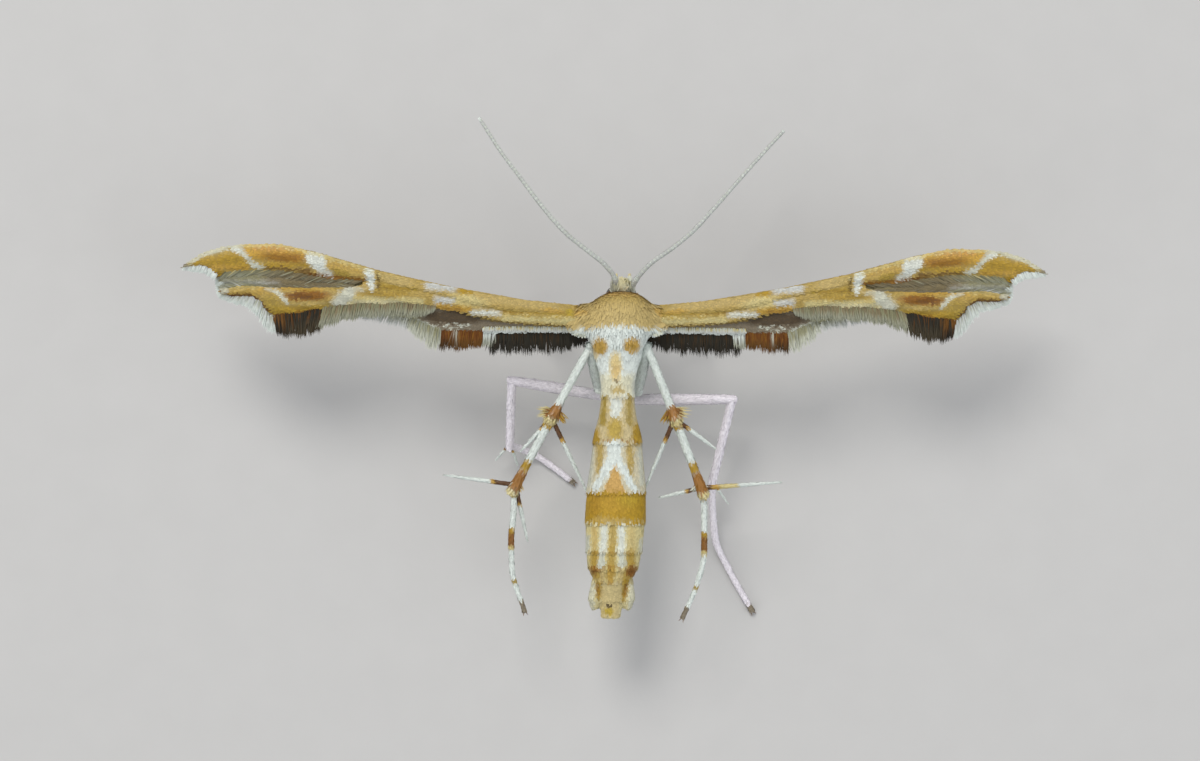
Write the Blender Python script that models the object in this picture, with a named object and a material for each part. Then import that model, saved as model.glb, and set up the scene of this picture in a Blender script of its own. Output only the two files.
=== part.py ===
"""A plume moth standing on its fore and middle feet, wings straight out and hind legs trailed.

+Y points from the tail to the head, +X to the moth's right and +Z up; the feet stand on Z = 0.
Every part of the body is one closed solid. Neighbours are parted by a thin cut: the later piece
is trimmed by a slightly larger copy of the earlier one. Wings, legs and feelers are about half a
millimetre thick. Sizes below are in millimetres.
"""

import math

import bmesh
import bpy
from mathutils import Vector
from mathutils.bvhtree import BVHTree

MM = 0.001

# Driving dimensions
CUT = 0.05                 # width of the cut between two neighbours
LEG_RADIUS = 0.25
ANTENNA_RADIUS = 0.23
WING_THICKNESS = 0.5
FOREWING_HEIGHT = 3.22     # middle of the forewing's thickness at its root
EDGE_THICKNESS = 0.36      # at a wing's rim
WING_SPACING = WING_THICKNESS + 0.08   # middle of the forewing above the middle of the hindwing
WING_REACH = 11.0          # middle line to wing tip
WING_TURN = 0.0075         # both wings turned clockwise by this slope, seen from above
WING_ARCH = 0.3            # rise of the wing between its root and its crest
WING_CREST = 0.55          # place of the crest, as a share of the reach
WING_DROOP = 0.2           # fall from there to its tip
WING_PITCH = 0.12          # the front edge's rise for each millimetre of chord
WING_MIDDLE = 0.02         # X halfway between the wings' tips
WING_ROOT = 0.6            # first station of a wing, moved to the thorax's side afterwards
HIP_RADIUS = 0.2
KNEE_RADIUS = 0.225
FOOT_RADIUS = 0.22
FOOT_HEIGHT = 0.2          # middle of a foot above the floor, so its underside is a narrow flat
SPUR_RADII = (0.17, 0.11)  # at its base and its tip
DOME = (math.radians(65.0), math.radians(35.0))    # rings of a limb's domed end

# Middle line of the body, seen from above: place along Y, then X
BODY_LINE = ((-6.4, -0.075), (-5.3, -0.02), (-3.8, 0.05), (-1.9, 0.10), (0.7, 0.12), (2.4, 0.24))

# Place along Y, half width, height of the middle, half height
THORAX = (
    (0.48, 0.46, 2.98, 0.42),
    (0.62, 0.58, 2.98, 0.57),
    (0.85, 0.80, 2.97, 0.70),
    (1.15, 0.93, 2.97, 0.77),
    (1.45, 0.89, 3.02, 0.71),
    (1.70, 0.76, 3.15, 0.54),
    (1.86, 0.56, 3.27, 0.36),
    (1.95, 0.38, 3.33, 0.23),
    (1.99, 0.18, 3.35, 0.11),
)
ABDOMEN = (
    (-6.34, 0.24, 2.42, 0.20),
    (-6.05, 0.30, 2.44, 0.27),
    (-5.60, 0.41, 2.49, 0.38),
    (-5.10, 0.64, 2.56, 0.57),
    (-4.60, 0.72, 2.62, 0.65),
    (-3.20, 0.77, 2.74, 0.70),
    (-2.50, 0.71, 2.80, 0.65),
    (-1.70, 0.62, 2.86, 0.57),
    (-1.10, 0.49, 2.91, 0.47),
    (-0.50, 0.43, 2.94, 0.42),
    (0.43, 0.45, 2.97, 0.42),
)
SEGMENT_ENDS = (0.43, -0.80, -1.83, -3.13, -3.97, -4.65, -5.09, -5.42, -5.90, -6.34)
SEGMENT_SHAPE = ((0.06, 0.975), (0.5, 1.0), (0.94, 1.03))   # share along a ring, then its swelling
CLASPER = (
    (-6.06, 0.04, 2.46, 0.05),
    (-5.99, 0.10, 2.46, 0.18),
    (-5.76, 0.14, 2.48, 0.27),
    (-5.42, 0.10, 2.52, 0.22),
    (-5.26, 0.04, 2.54, 0.10),
)
CLASPER_OFFSET = 0.44      # a clasper's middle, sideways from the body's

HEAD_CENTRE = (0.03, 1.96, 2.66)        # sideways from the body's middle line, Y, Z
HEAD_RADII = (0.38, 0.43, 0.46)
EYE_CENTRE = (0.27, 1.93, 2.60)
EYE_RADII = (0.20, 0.22, 0.24)
PALP = ((0.20, 2.10, 2.44), (0.21, 2.30, 2.20), (0.21, 2.38, 1.96))
PALP_RADIUS = 0.18

ANTENNA_LEFT = ((0.04, 2.16, 2.86), (0.02, 2.36, 3.06), (-0.22, 2.68, 3.20), (-0.59, 2.98, 3.26),
                (-1.21, 3.48, 3.26), (-1.76, 4.09, 3.18), (-2.32, 4.83, 3.02), (-2.87, 5.57, 2.82),
                (-3.36, 6.34, 2.60))
ANTENNA_RIGHT = ((0.50, 2.16, 2.86), (0.62, 2.36, 3.06), (0.95, 2.71, 3.20), (1.51, 3.11, 3.26),
                 (2.00, 3.51, 3.26), (2.43, 3.97, 3.20), (2.98, 4.59, 3.06), (3.66, 5.36, 2.86),
                 (4.28, 6.04, 2.66))

# Wing edges: distance out from the middle line, then Y
COSTA = ((0.2, 1.60), (2.2, 1.78), (4.2, 2.12), (6.0, 2.51), (7.7, 2.99), (8.7, 3.17), (9.6, 3.13),
         (10.4, 2.93), (WING_REACH, 2.57))
CLEFT = 6.2                # where the forewing splits into its two lobes
CLEFT_Y = 2.24
FOLD = ((0.2, 1.36), (3.4, 1.66), (CLEFT, CLEFT_Y))
LOBE_ONE_REAR = ((CLEFT, CLEFT_Y), (7.6, 2.42), (8.9, 2.55), (9.8, 2.50), (10.3, 2.40),
                 (WING_REACH, 2.48))
LOBE_TWO_FRONT = ((CLEFT, CLEFT_Y), (7.4, 2.03), (8.6, 2.02), (9.4, 2.10), (10.1, 2.08))
LOBE_TWO_REACH = 10.08
FOREWING_REAR = ((0.2, 1.02), (2.4, 1.15), (3.4, 1.28), (4.5, 1.34), (5.2, 1.14), (5.7, 1.18),
                 (6.4, 1.30), (7.0, 1.20), (7.5, 1.02), (7.85, 0.87), (8.4, 0.85), (8.8, 1.07),
                 (9.23, 1.30), (9.8, 1.60), (LOBE_TWO_REACH, 1.90))
HINDWING_REACH = 10.1
HINDWING_FRONT = ((0.2, 1.40), (3.0, 1.75), (5.0, 2.05), (6.5, 2.30), (8.0, 2.42), (9.4, 2.42),
                  (HINDWING_REACH, 2.28))
HINDWING_REAR = ((0.2, 0.91), (2.4, 0.91), (3.1, 0.80), (3.35, 0.60), (3.9, 0.62), (4.35, 0.50),
                 (4.60, 0.40), (4.95, 0.95), (5.5, 1.20), (6.5, 1.42), (8.0, 1.62), (9.4, 1.88),
                 (HINDWING_REACH, 2.12))

# Joints of each leg from the body outwards, then the points that its tarsus follows
FORE_LEG = ((0.32, 1.42, 2.45), (0.45, 1.46, 1.72), (1.35, 1.36, 1.92), (1.95, 1.42, 0.95))
FORE_TARSUS = ((2.28, 1.52, 0.45), (2.56, 1.60, FOOT_HEIGHT), (3.00, 1.66, FOOT_HEIGHT))
FORE_MIDDLE = 0.17         # middle line at the forelegs
LEGS = {
    "mid_left": (((-0.18, 1.10, 2.12), (-0.16, -0.68, 1.48), (-2.61, -0.27, 1.92),
                  (-2.68, -1.95, 0.85)),
                 ((-2.32, -2.08, 0.42), (-1.94, -2.27, FOOT_HEIGHT), (-1.42, -2.64, FOOT_HEIGHT),
                  (-1.08, -2.90, FOOT_HEIGHT))),
    "mid_right": (((0.44, 1.10, 2.12), (0.42, -0.76, 1.48), (3.06, -0.75, 1.92),
                   (2.56, -2.94, 0.92)),
                  ((2.58, -3.50, 0.66), (2.66, -4.37, 0.34), (3.02, -5.20, FOOT_HEIGHT),
                   (3.60, -6.24, FOOT_HEIGHT))),
    "hind_left": (((-0.16, 0.55, 2.42), (-0.36, -0.46, 2.16), (-0.60, 0.58, 2.92),
                   (-2.56, -3.06, 2.50)),
                  ((-2.55, -3.45, 2.44), (-2.62, -4.37, 2.32), (-2.60, -5.10, 2.20),
                   (-2.30, -6.15, 2.05))),
    "hind_right": (((0.42, 0.55, 2.42), (0.62, -0.52, 2.16), (0.86, 0.58, 2.92),
                    (2.29, -3.13, 2.50)),
                   ((2.33, -3.60, 2.43), (2.33, -4.65, 2.28), (2.14, -5.52, 2.16),
                    (1.80, -6.32, 2.05))),
}
# Spurs of the tibiae: the share of the tibia where they leave it, then their tip
SPURS = {
    "hind_left": ((0.50, (-0.74, -3.00, 2.42)), (0.50, (-2.32, -2.02, 2.62)),
                  (0.97, (-4.28, -2.70, 2.28)), (0.98, (-2.22, -4.34, 2.02))),
    "hind_right": ((0.49, (0.86, -2.92, 2.42)), (0.49, (2.56, -1.97, 2.62)),
                   (0.97, (4.24, -2.88, 2.28)), (0.98, (1.24, -3.26, 2.16))),
}

# Red, green, blue, roughness
COLOURS = {
    "gold": (0.62, 0.36, 0.10, 0.55),
    "cream": (0.80, 0.74, 0.60, 0.60),
    "white": (0.82, 0.82, 0.78, 0.60),
    "eye": (0.05, 0.035, 0.025, 0.15),
}


def smooth(rows, place):
    """The values of rows at a place, along a curve through them that doesn't overshoot."""
    last = len(rows) - 1
    place = min(max(place, rows[0][0]), rows[last][0])
    at = next(i for i in range(last) if place <= rows[i + 1][0])
    width = rows[at + 1][0] - rows[at][0]
    t = (place - rows[at][0]) / width
    return [blend(rows, at, column, t, width) for column in range(1, len(rows[0]))]


def blend(rows, at, column, t, width):
    """One value between row `at` and the next, a share t of the way."""
    start = rows[at][column]
    end = rows[at + 1][column]
    leave = slope(rows, at, column) * width
    arrive = slope(rows, at + 1, column) * width
    rest = 1.0 - t
    return (start * (1.0 + 2.0 * t) * rest * rest + leave * t * rest * rest
            + end * (3.0 - 2.0 * t) * t * t - arrive * t * t * rest)


def slope(rows, at, column):
    """How steeply a column runs through row `at`: level where it turns back."""
    def rise(i):
        return (rows[i + 1][column] - rows[i][column]) / (rows[i + 1][0] - rows[i][0])
    if at == 0:
        return rise(0)
    if at == len(rows) - 1:
        return rise(at - 1)
    before, after = rise(at - 1), rise(at)
    if before * after <= 0.0:
        return 0.0
    return 2.0 * before * after / (before + after)


def middle(y):
    """X of the body's middle line."""
    return smooth(BODY_LINE, y)[0]


def places_between(start, end, count):
    """Evenly spaced places, both ends included."""
    return [start + (end - start) * i / count for i in range(count + 1)]


def material(name):
    """A plain finish for one of the moth's colours."""
    found = bpy.data.materials.get(name)
    if found:
        return found
    red, green, blue, roughness = COLOURS[name]
    made = bpy.data.materials.new(name)
    made.use_nodes = True
    shader = made.node_tree.nodes["Principled BSDF"]
    shader.inputs["Base Color"].default_value = (red, green, blue, 1.0)
    shader.inputs["Roughness"].default_value = roughness
    made.diffuse_color = (red, green, blue, 1.0)
    return made


def add_object(name, mesh_data, colour):
    """Closes off a bmesh into an object of that name."""
    bmesh.ops.recalc_face_normals(mesh_data, faces=mesh_data.faces)
    mesh = bpy.data.meshes.new(name)
    mesh_data.to_mesh(mesh)
    mesh_data.free()
    mesh.materials.append(material(colour))
    mesh.shade_smooth()
    mesh.set_sharp_from_angle(angle=math.radians(40.0))
    made = bpy.data.objects.new(name, mesh)
    bpy.context.scene.collection.objects.link(made)
    return made


def skin_rings(name, rings, colour):
    """A closed solid through rings of points (millimetres), with a flat lid on each end."""
    shape = bmesh.new()
    loops = [[shape.verts.new(Vector(point) * MM) for point in ring] for ring in rings]
    sides = len(loops[0])
    for near, far in zip(loops, loops[1:]):
        for j in range(sides):
            k = (j + 1) % sides
            shape.faces.new((near[j], near[k], far[k], far[j]))
    shape.faces.new(loops[0])
    shape.faces.new(loops[-1])
    return add_object(name, shape, colour)


def oval(rows, y, sides, sideways=0.0, swelling=1.0):
    """One oval section of the body."""
    half_width, height, half_height = smooth(rows, y)
    x = middle(y) + sideways
    ring = []
    for j in range(sides):
        turn = math.tau * j / sides
        ring.append((x + half_width * swelling * math.cos(turn), y,
                     height + half_height * swelling * math.sin(turn)))
    return ring


def trunk(name, rows, colour, steps, sides, sideways=0.0):
    """A solid of oval sections along the body, with the same number of steps between rows."""
    places = [rows[0][0]]
    for row, after in zip(rows, rows[1:]):
        places += places_between(row[0], after[0], steps)[1:]
    return skin_rings(name, [oval(rows, y, sides, sideways) for y in places], colour)


def ringed(name, rows, ends, colour, sides):
    """A solid of rings that each swell a little towards the tail."""
    rings = []
    for start, end in zip(ends, ends[1:]):
        for share, swelling in SEGMENT_SHAPE:
            rings.append(oval(rows, start + (end - start) * share, sides, swelling=swelling))
    return skin_rings(name, rings, colour)


def ball(name, centre, radii, colour, side=1.0):
    """An egg shape beside the body's middle line."""
    shape = bmesh.new()
    bmesh.ops.create_uvsphere(shape, u_segments=16, v_segments=10, radius=1.0)
    place = Vector((middle(centre[1]) + side * centre[0], centre[1], centre[2]))
    for vertex in shape.verts:
        vertex.co = (place + Vector(a * b for a, b in zip(vertex.co, radii))) * MM
    return add_object(name, shape, colour)


def curve_through(points, steps):
    """Points along a smooth curve through the given ones."""
    places = [0.0]
    for a, b in zip(points, points[1:]):
        places.append(places[-1] + (Vector(b) - Vector(a)).length)
    rows = [(place, *point) for place, point in zip(places, points)]
    count = steps * (len(points) - 1)
    return [Vector(smooth(rows, places[-1] * i / count)) for i in range(count + 1)]


def tube(name, path, start_radius, end_radius, colour, sides=8):
    """A round limb along a path, with domed ends; what would pass the floor lies flat on it."""
    path = [Vector(point) for point in path]
    along = [(b - a).normalized() for a, b in zip(path, path[1:])]
    along = [along[0]] + [(a + b).normalized() for a, b in zip(along, along[1:])] + [along[-1]]
    last = len(path) - 1
    stops = []
    for i, point in enumerate(path):
        radius = start_radius + (end_radius - start_radius) * i / last
        stops.append((point, along[i], radius))
    lead = [(path[0] - along[0] * start_radius * math.sin(a), along[0], start_radius * math.cos(a))
            for a in DOME]
    tail = [(path[-1] + along[-1] * end_radius * math.sin(a), along[-1], end_radius * math.cos(a))
            for a in reversed(DOME)]
    across = along[0].orthogonal().normalized()
    rings = []
    for point, direction, radius in lead + stops + tail:
        across = (across - direction * across.dot(direction)).normalized()
        other = direction.cross(across)
        ring = []
        for j in range(sides):
            turn = math.tau * j / sides
            spot = point + (across * math.cos(turn) + other * math.sin(turn)) * radius
            spot.z = max(spot.z, 0.0)
            ring.append(spot)
        rings.append(ring)
    return skin_rings(name, rings, colour)


def trim(piece, *neighbours):
    """Cuts a piece back to a thin gap from each neighbour."""
    for neighbour in neighbours:
        name = "cutter_" + neighbour.name
        cutter = bpy.data.objects.get(name)
        if cutter is None:
            cutter = neighbour.copy()
            cutter.name = name
            cutter.data = neighbour.data.copy()
            cutter.modifiers.clear()
            spots = [vertex.co + vertex.normal * CUT * MM for vertex in neighbour.data.vertices]
            for vertex, spot in zip(cutter.data.vertices, spots):
                vertex.co = spot
            cutter.display_type = "WIRE"
            cutter.hide_render = True
            bpy.context.scene.collection.objects.link(cutter)
        cut = piece.modifiers.new("cut by " + neighbour.name, "BOOLEAN")
        cut.operation = "DIFFERENCE"
        cut.object = cutter
    return piece


def join(piece, addition):
    """Grows a piece by another one that overlaps it."""
    addition.display_type = "WIRE"
    addition.hide_render = True
    union = piece.modifiers.new("with " + addition.name, "BOOLEAN")
    union.operation = "UNION"
    union.object = addition


def wing_height(out, y, layer):
    """Height of a wing's middle surface: arched, drooping at its tip, its front edge raised."""
    share = out / WING_REACH
    arch = WING_ARCH * math.sin(min(share / WING_CREST, 1.0) * math.pi / 2.0)
    droop = WING_DROOP * max(0.0, (share - WING_CREST) / (1.0 - WING_CREST)) ** 2
    chord_middle = 0.5 * (smooth(COSTA, out)[0] + smooth(HINDWING_REAR, out)[0])
    return FOREWING_HEIGHT + layer + arch - droop + WING_PITCH * (y - chord_middle)


def wing_strip(shape, front, rear, places, rows, layer, side, seam):
    """Top and bottom of one strip of wing, sharing the points where it meets another strip."""
    half = 0.5 * WING_THICKNESS
    columns = []
    for out in places:
        y_front, y_rear = front(out), rear(out)
        column = []
        for i in range(rows + 1):
            y = y_rear + (y_front - y_rear) * i / rows
            spot = (round(out, 4), round(y, 4))
            if spot not in seam:
                x = WING_MIDDLE + side * out
                turned = y - side * WING_TURN * out
                z = wing_height(out, y, layer)
                seam[spot] = (shape.verts.new(Vector((x, turned, z + half)) * MM),
                              shape.verts.new(Vector((x, turned, z - half)) * MM))
            column.append(seam[spot])
        columns.append(column)
    for near, far in zip(columns, columns[1:]):
        for i in range(rows):
            for face in (0, 1):
                shape.faces.new((near[i][face], far[i][face], far[i + 1][face],
                                 near[i + 1][face]))


def wing(name, strips, layer, side, root):
    """A wing from its strips, closed round its rim, its root scribed to the thorax."""
    shape = bmesh.new()
    seam = {}
    for front, rear, places, rows in strips:
        wing_strip(shape, front, rear, places, rows, layer, side, seam)
    below = {top: bottom for top, bottom in seam.values()}
    rim = [edge for edge in shape.edges if edge.is_boundary and edge.verts[0] in below]
    for edge in rim:
        a, b = edge.verts
        shape.faces.new((a, b, below[b], below[a]))
    for top in {vertex for edge in rim for vertex in edge.verts}:
        top.co.z -= 0.5 * (WING_THICKNESS - EDGE_THICKNESS) * MM
        below[top].co.z += 0.5 * (WING_THICKNESS - EDGE_THICKNESS) * MM
    body = BVHTree.FromObject(root, bpy.context.evaluated_depsgraph_get())
    inward = Vector((-side, 0.0, 0.0))
    for (out, _), pair in seam.items():
        if out == WING_ROOT:
            for vertex in pair:
                hit = body.ray_cast(vertex.co - inward * WING_REACH * MM, inward)[0]
                vertex.co.x = hit.x + side * CUT * MM
    return add_object(name, shape, "gold")


def reader(rows):
    """Y of a wing edge as a function of the distance out."""
    return lambda out: smooth(rows, out)[0]


def make_wings(thorax):
    costa = reader(COSTA)
    fold = reader(FOLD)
    rear = reader(FOREWING_REAR)
    inner = places_between(WING_ROOT, CLEFT, 12)
    outer = places_between(CLEFT, WING_REACH, 10)
    second = places_between(CLEFT, LOBE_TWO_REACH, 10)
    forewing = (
        (costa, fold, inner, 2),
        (fold, rear, inner, 2),
        (costa, reader(LOBE_ONE_REAR), outer, 2),
        (reader(LOBE_TWO_FRONT), rear, second, 2),
    )
    hind = places_between(WING_ROOT, HINDWING_REACH, 26)
    hindwing = ((reader(HINDWING_FRONT), reader(HINDWING_REAR), hind, 3),)
    made = []
    for side_name, side in (("left", -1.0), ("right", 1.0)):
        made.append(wing("forewing_" + side_name, forewing, 0.0, side, thorax))
        made.append(wing("hindwing_" + side_name, hindwing, -WING_SPACING, side, thorax))
    return made


def make_leg(name, joints, tarsus, thorax, spurs=()):
    """Coxa, femur, tibia and tarsus, each trimmed by the one before."""
    coxa = tube("coxa_" + name, joints[0:2], HIP_RADIUS, HIP_RADIUS, "white")
    femur = tube("femur_" + name, joints[1:3], HIP_RADIUS, KNEE_RADIUS, "white")
    tibia = tube("tibia_" + name, joints[2:4], KNEE_RADIUS, LEG_RADIUS, "cream")
    path = curve_through((joints[3],) + tarsus, 2)
    foot = tube("tarsus_" + name, path, LEG_RADIUS, FOOT_RADIUS, "white")
    grown = []
    for i, (share, tip) in enumerate(spurs):
        base = Vector(joints[2]).lerp(Vector(joints[3]), share)
        grown.append(tube("spur_%s_%d" % (name, i), (base, tip), *SPUR_RADII, "cream", sides=6))
        join(tibia, grown[-1])
    trim(coxa, thorax)
    trim(femur, coxa)
    trim(tibia, femur)
    trim(foot, tibia, *grown)
    return [coxa, femur, tibia, foot]


def make_legs(thorax):
    made = []
    for side_name, side in (("left", -1.0), ("right", 1.0)):
        joints = tuple((FORE_MIDDLE + side * x, y, z) for x, y, z in FORE_LEG)
        tarsus = tuple((FORE_MIDDLE + side * x, y, z) for x, y, z in FORE_TARSUS)
        made += make_leg("fore_" + side_name, joints, tarsus, thorax)
    for name, (joints, tarsus) in LEGS.items():
        made += make_leg(name, joints, tarsus, thorax, SPURS.get(name, ()))
    return made


def make_head(thorax):
    head = ball("head", HEAD_CENTRE, HEAD_RADII, "cream")
    trim(head, thorax)
    made = [head]
    for side_name, side, antenna in (("left", -1.0, ANTENNA_LEFT), ("right", 1.0, ANTENNA_RIGHT)):
        eye = ball("eye_" + side_name, EYE_CENTRE, EYE_RADII, "eye", side)
        trim(eye, thorax)
        trim(head, eye)
        palp = tube("palp_" + side_name,
                    curve_through([(middle(y) + side * x, y, z) for x, y, z in PALP], 2),
                    PALP_RADIUS, PALP_RADIUS * 0.7, "white")
        feeler = tube("antenna_" + side_name, curve_through(antenna, 2), ANTENNA_RADIUS * 0.8,
                      ANTENNA_RADIUS, "white", sides=6)
        trim(palp, head)
        trim(feeler, head)
        made += [eye, palp, feeler]
    return made


def make_moth():
    thorax = trunk("thorax", THORAX, "gold", steps=2, sides=20)
    abdomen = ringed("abdomen", ABDOMEN, SEGMENT_ENDS, "cream", sides=18)
    pieces = [thorax, abdomen]
    for side_name, side in (("left", -1.0), ("right", 1.0)):
        clasper = trunk("clasper_" + side_name, CLASPER, "cream", 1, 10, side * CLASPER_OFFSET)
        pieces.append(trim(clasper, abdomen))
    pieces += make_head(thorax)
    pieces += make_wings(thorax)
    pieces += make_legs(thorax)
    return pieces


def stand_on_origin(pieces):
    """Hangs everything on one empty, the middle of the model's outline over the origin."""
    spots = [vertex.co for piece in pieces for vertex in piece.data.vertices]
    lows = [min(spot[i] for spot in spots) for i in range(3)]
    highs = [max(spot[i] for spot in spots) for i in range(3)]
    stand = bpy.data.objects.new("moth", None)
    bpy.context.scene.collection.objects.link(stand)
    for piece in list(bpy.context.scene.objects):
        if piece.type == "MESH":
            piece.parent = stand
    stand.location = (-(lows[0] + highs[0]) / 2.0, -(lows[1] + highs[1]) / 2.0, -lows[2])


for old in list(bpy.data.objects):
    bpy.data.objects.remove(old)
stand_on_origin(make_moth())
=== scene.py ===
import math

import bmesh
import bpy
import numpy as np
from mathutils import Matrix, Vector
from mathutils.kdtree import KDTree


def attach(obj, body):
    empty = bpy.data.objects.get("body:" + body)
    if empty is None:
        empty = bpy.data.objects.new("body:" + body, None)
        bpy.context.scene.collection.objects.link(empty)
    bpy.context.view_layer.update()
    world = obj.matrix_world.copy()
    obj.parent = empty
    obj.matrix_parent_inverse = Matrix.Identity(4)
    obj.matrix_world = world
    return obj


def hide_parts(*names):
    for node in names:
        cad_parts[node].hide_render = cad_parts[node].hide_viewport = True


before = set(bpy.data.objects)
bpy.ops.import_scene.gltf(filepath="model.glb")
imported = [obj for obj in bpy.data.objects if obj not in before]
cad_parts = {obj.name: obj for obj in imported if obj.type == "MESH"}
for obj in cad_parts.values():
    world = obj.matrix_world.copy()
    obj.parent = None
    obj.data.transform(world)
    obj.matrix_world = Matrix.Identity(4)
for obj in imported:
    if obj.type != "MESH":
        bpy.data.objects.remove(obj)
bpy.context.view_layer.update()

print("frame loaded,", len(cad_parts), "solids")

model = {
    "mm": 0.001,                        # every length below is in millimetres
    "shift": (-0.02, -0.0144, 0.0),     # from the body's own zero to the frame's
    "tuftPatch": 0.003,                 # side of a scale's patch on the unwrap
    "skinShade": 0.8,                   # how dark the skin is beside its scales
    "ridge": 0.16,                      # how far a ridged scale's sides drop, as a share of its width
}

palette = {                             # colours that skin and scales share
    "gold": (0.475, 0.342, 0.102),
    "straw": (0.59, 0.46, 0.20),
    "honey": (0.37, 0.26, 0.040),
    "ochre": (0.55, 0.335, 0.058),
    "amber": (0.45, 0.28, 0.025),
    "rust": (0.25, 0.105, 0.016),
    "chestnut": (0.12, 0.05, 0.014),
    "umber": (0.06, 0.036, 0.016),
    "soot": (0.03, 0.027, 0.020),
    "white": (0.74, 0.80, 0.76),
    "milk": (0.62, 0.64, 0.54),
    "cream": (0.67, 0.575, 0.265),
    "olive": (0.22, 0.17, 0.09),
    "moss": (0.36, 0.37, 0.28),
    "mauve": (0.24, 0.20, 0.14),
    "pearl": (0.60, 0.62, 0.60),
    # lilac: the mid legs' white-lilac, made paler still as painted light against the shade of the body and
    # wings
    "lilac": (0.90, 0.86, 0.92),
    "yolk": (0.50, 0.36, 0.04),
    "sedge": (0.275, 0.265, 0.150),
    "apricot": (0.58, 0.32, 0.10),
    "brick": (0.150, 0.053, 0.012),
    "toffee": (0.62, 0.39, 0.13),
    "russet": (0.34, 0.155, 0.03),
    "wheat": (0.76, 0.60, 0.27),
}


def curve(*stops):                      # a smooth line through (place, value) stops that never overshoots
    xs, ys = np.array(stops, float).T
    width = np.diff(xs)
    rise = np.diff(ys) / width
    slopes = np.concatenate((rise[:1], np.zeros(len(xs) - 2), rise[-1:]))
    product = rise[:-1] * rise[1:]
    total = rise[:-1] + rise[1:]
    slopes[1:-1] = np.where(product > 0, 2 * product / np.where(total == 0, 1, total), 0)

    def read(x):
        x = np.clip(x, xs[0], xs[-1])
        at = np.clip(np.searchsorted(xs, x) - 1, 0, len(width) - 1)
        t = (x - xs[at]) / width[at]
        rest = 1 - t
        return (ys[at] * (1 + 2 * t) * rest * rest + slopes[at] * width[at] * t * rest * rest
                + ys[at + 1] * (3 - 2 * t) * t * t - slopes[at + 1] * width[at] * t * t * rest)
    return read


def step(low, high, x):                 # 0 below low, 1 above high, smooth between
    t = np.clip((x - low) / (high - low), 0, 1)
    return t * t * (3 - 2 * t)


def window(x, rise, fall):              # 1 between a rise and a fall, smooth at both
    return step(*rise, x) * (1 - step(*fall, x))


def unit(vectors):
    return vectors / np.maximum(np.linalg.norm(vectors, axis=-1, keepdims=True), 1e-9)


def farAlong(path):                     # how far each place of a path is from its start
    return np.concatenate(([0], np.cumsum(np.linalg.norm(np.diff(path, axis=0), axis=1))))


def toFrame(points):                    # millimetres on the moth to metres in the frame
    return (np.asarray(points, float) + model["shift"]) * model["mm"]


def meshFrom(name, points, faces):      # points in millimetres, faces all of one size
    mesh = bpy.data.meshes.new(name)
    faces = np.asarray(faces, np.int32)
    mesh.vertices.add(len(points))
    mesh.vertices.foreach_set("co", toFrame(points).astype(np.float32).ravel())
    mesh.loops.add(faces.size)
    mesh.loops.foreach_set("vertex_index", faces.ravel())
    mesh.polygons.add(len(faces))
    mesh.polygons.foreach_set("loop_start", np.arange(0, faces.size, faces.shape[1], dtype=np.int32))
    mesh.polygons.foreach_set("use_smooth", np.ones(len(faces), bool))
    mesh.update(calc_edges=True)
    piece = bpy.data.objects.new(name, mesh)
    bpy.context.scene.collection.objects.link(piece)
    return piece


def colourPoints(piece, colours):       # the markings, one colour at each point
    layer = piece.data.color_attributes.new("pigment", "FLOAT_COLOR", "POINT")
    full = np.ones((len(colours), 4), np.float32)
    full[:, :3] = colours
    layer.data.foreach_set("color", full.ravel())


def numberPoints(piece, name, values):
    layer = piece.data.attributes.new(name, "FLOAT", "POINT")
    layer.data.foreach_set("value", np.asarray(values, np.float32))


def gridFaces(rows, columns, closed=False):        # quads of a grid of points, row by row
    i = np.arange(rows - 1)[:, None]
    j = np.arange(columns if closed else columns - 1)[None, :]
    k = (j + 1) % columns
    return np.stack((i * columns + j, i * columns + k, (i + 1) * columns + k,
                     (i + 1) * columns + j), axis=-1).reshape(-1, 4)


def tubeFaces(rings, sides):            # quads round a tube and a many-sided face over each end
    faces = [tuple(face) for face in gridFaces(rings, sides, closed=True)]
    return faces + [tuple(range(sides))[::-1], tuple(range((rings - 1) * sides, rings * sides))]


def merged(shapes):                     # several shapes, each points and faces, as one
    points, faces, count = [], [], 0
    for places, corners in shapes:
        points.append(places)
        faces += [tuple(i + count for i in face) for face in corners]
        count += len(places)
    return np.concatenate(points), faces


def flat(name, count):                  # one colour at every point
    return np.tile(palette[name], (count, 1))


def lay(colours, mask, name, strength=1.0):
    share = (np.clip(mask, 0, 1) * strength)[:, None]
    return colours * (1 - share) + np.array(palette[name]) * share


def layAll(colours, layers):            # each layer: where, colour, strength
    for mask, name, strength in layers:
        colours = lay(colours, mask, name, strength)
    return colours


def bar(p, start, end, half, soft=0.045):          # a stroke; half: its half width at each end
    a, b = np.array(start), np.array(end)
    t = np.clip(((p - a) @ (b - a)) / max((b - a) @ (b - a), 1e-9), 0, 1)
    away = np.linalg.norm(p - a - t[:, None] * (b - a), axis=1)
    wide = half[0] + (half[1] - half[0]) * t
    return 1 - step(wide - soft, wide + soft, away)


def oval(p, centre, radii, turn=0.0, soft=0.35):
    c, s = math.cos(turn), math.sin(turn)
    d = p - np.array(centre)
    x, y = d[:, 0] * c + d[:, 1] * s, d[:, 1] * c - d[:, 0] * s
    return 1 - step(1 - soft, 1 + soft, np.hypot(x / radii[0], y / radii[1]))


def patch(p, corners, soft=0.03):       # a convex patch, corners anticlockwise
    inside = np.full(len(p), np.inf)
    for a, b in zip(corners, corners[1:] + corners[:1]):
        edge = np.array(b) - np.array(a)
        inward = np.array((-edge[1], edge[0])) / np.hypot(*edge)
        inside = np.minimum(inside, (p - np.array(a)) @ inward)
    return step(-soft, soft, inside)


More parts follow.
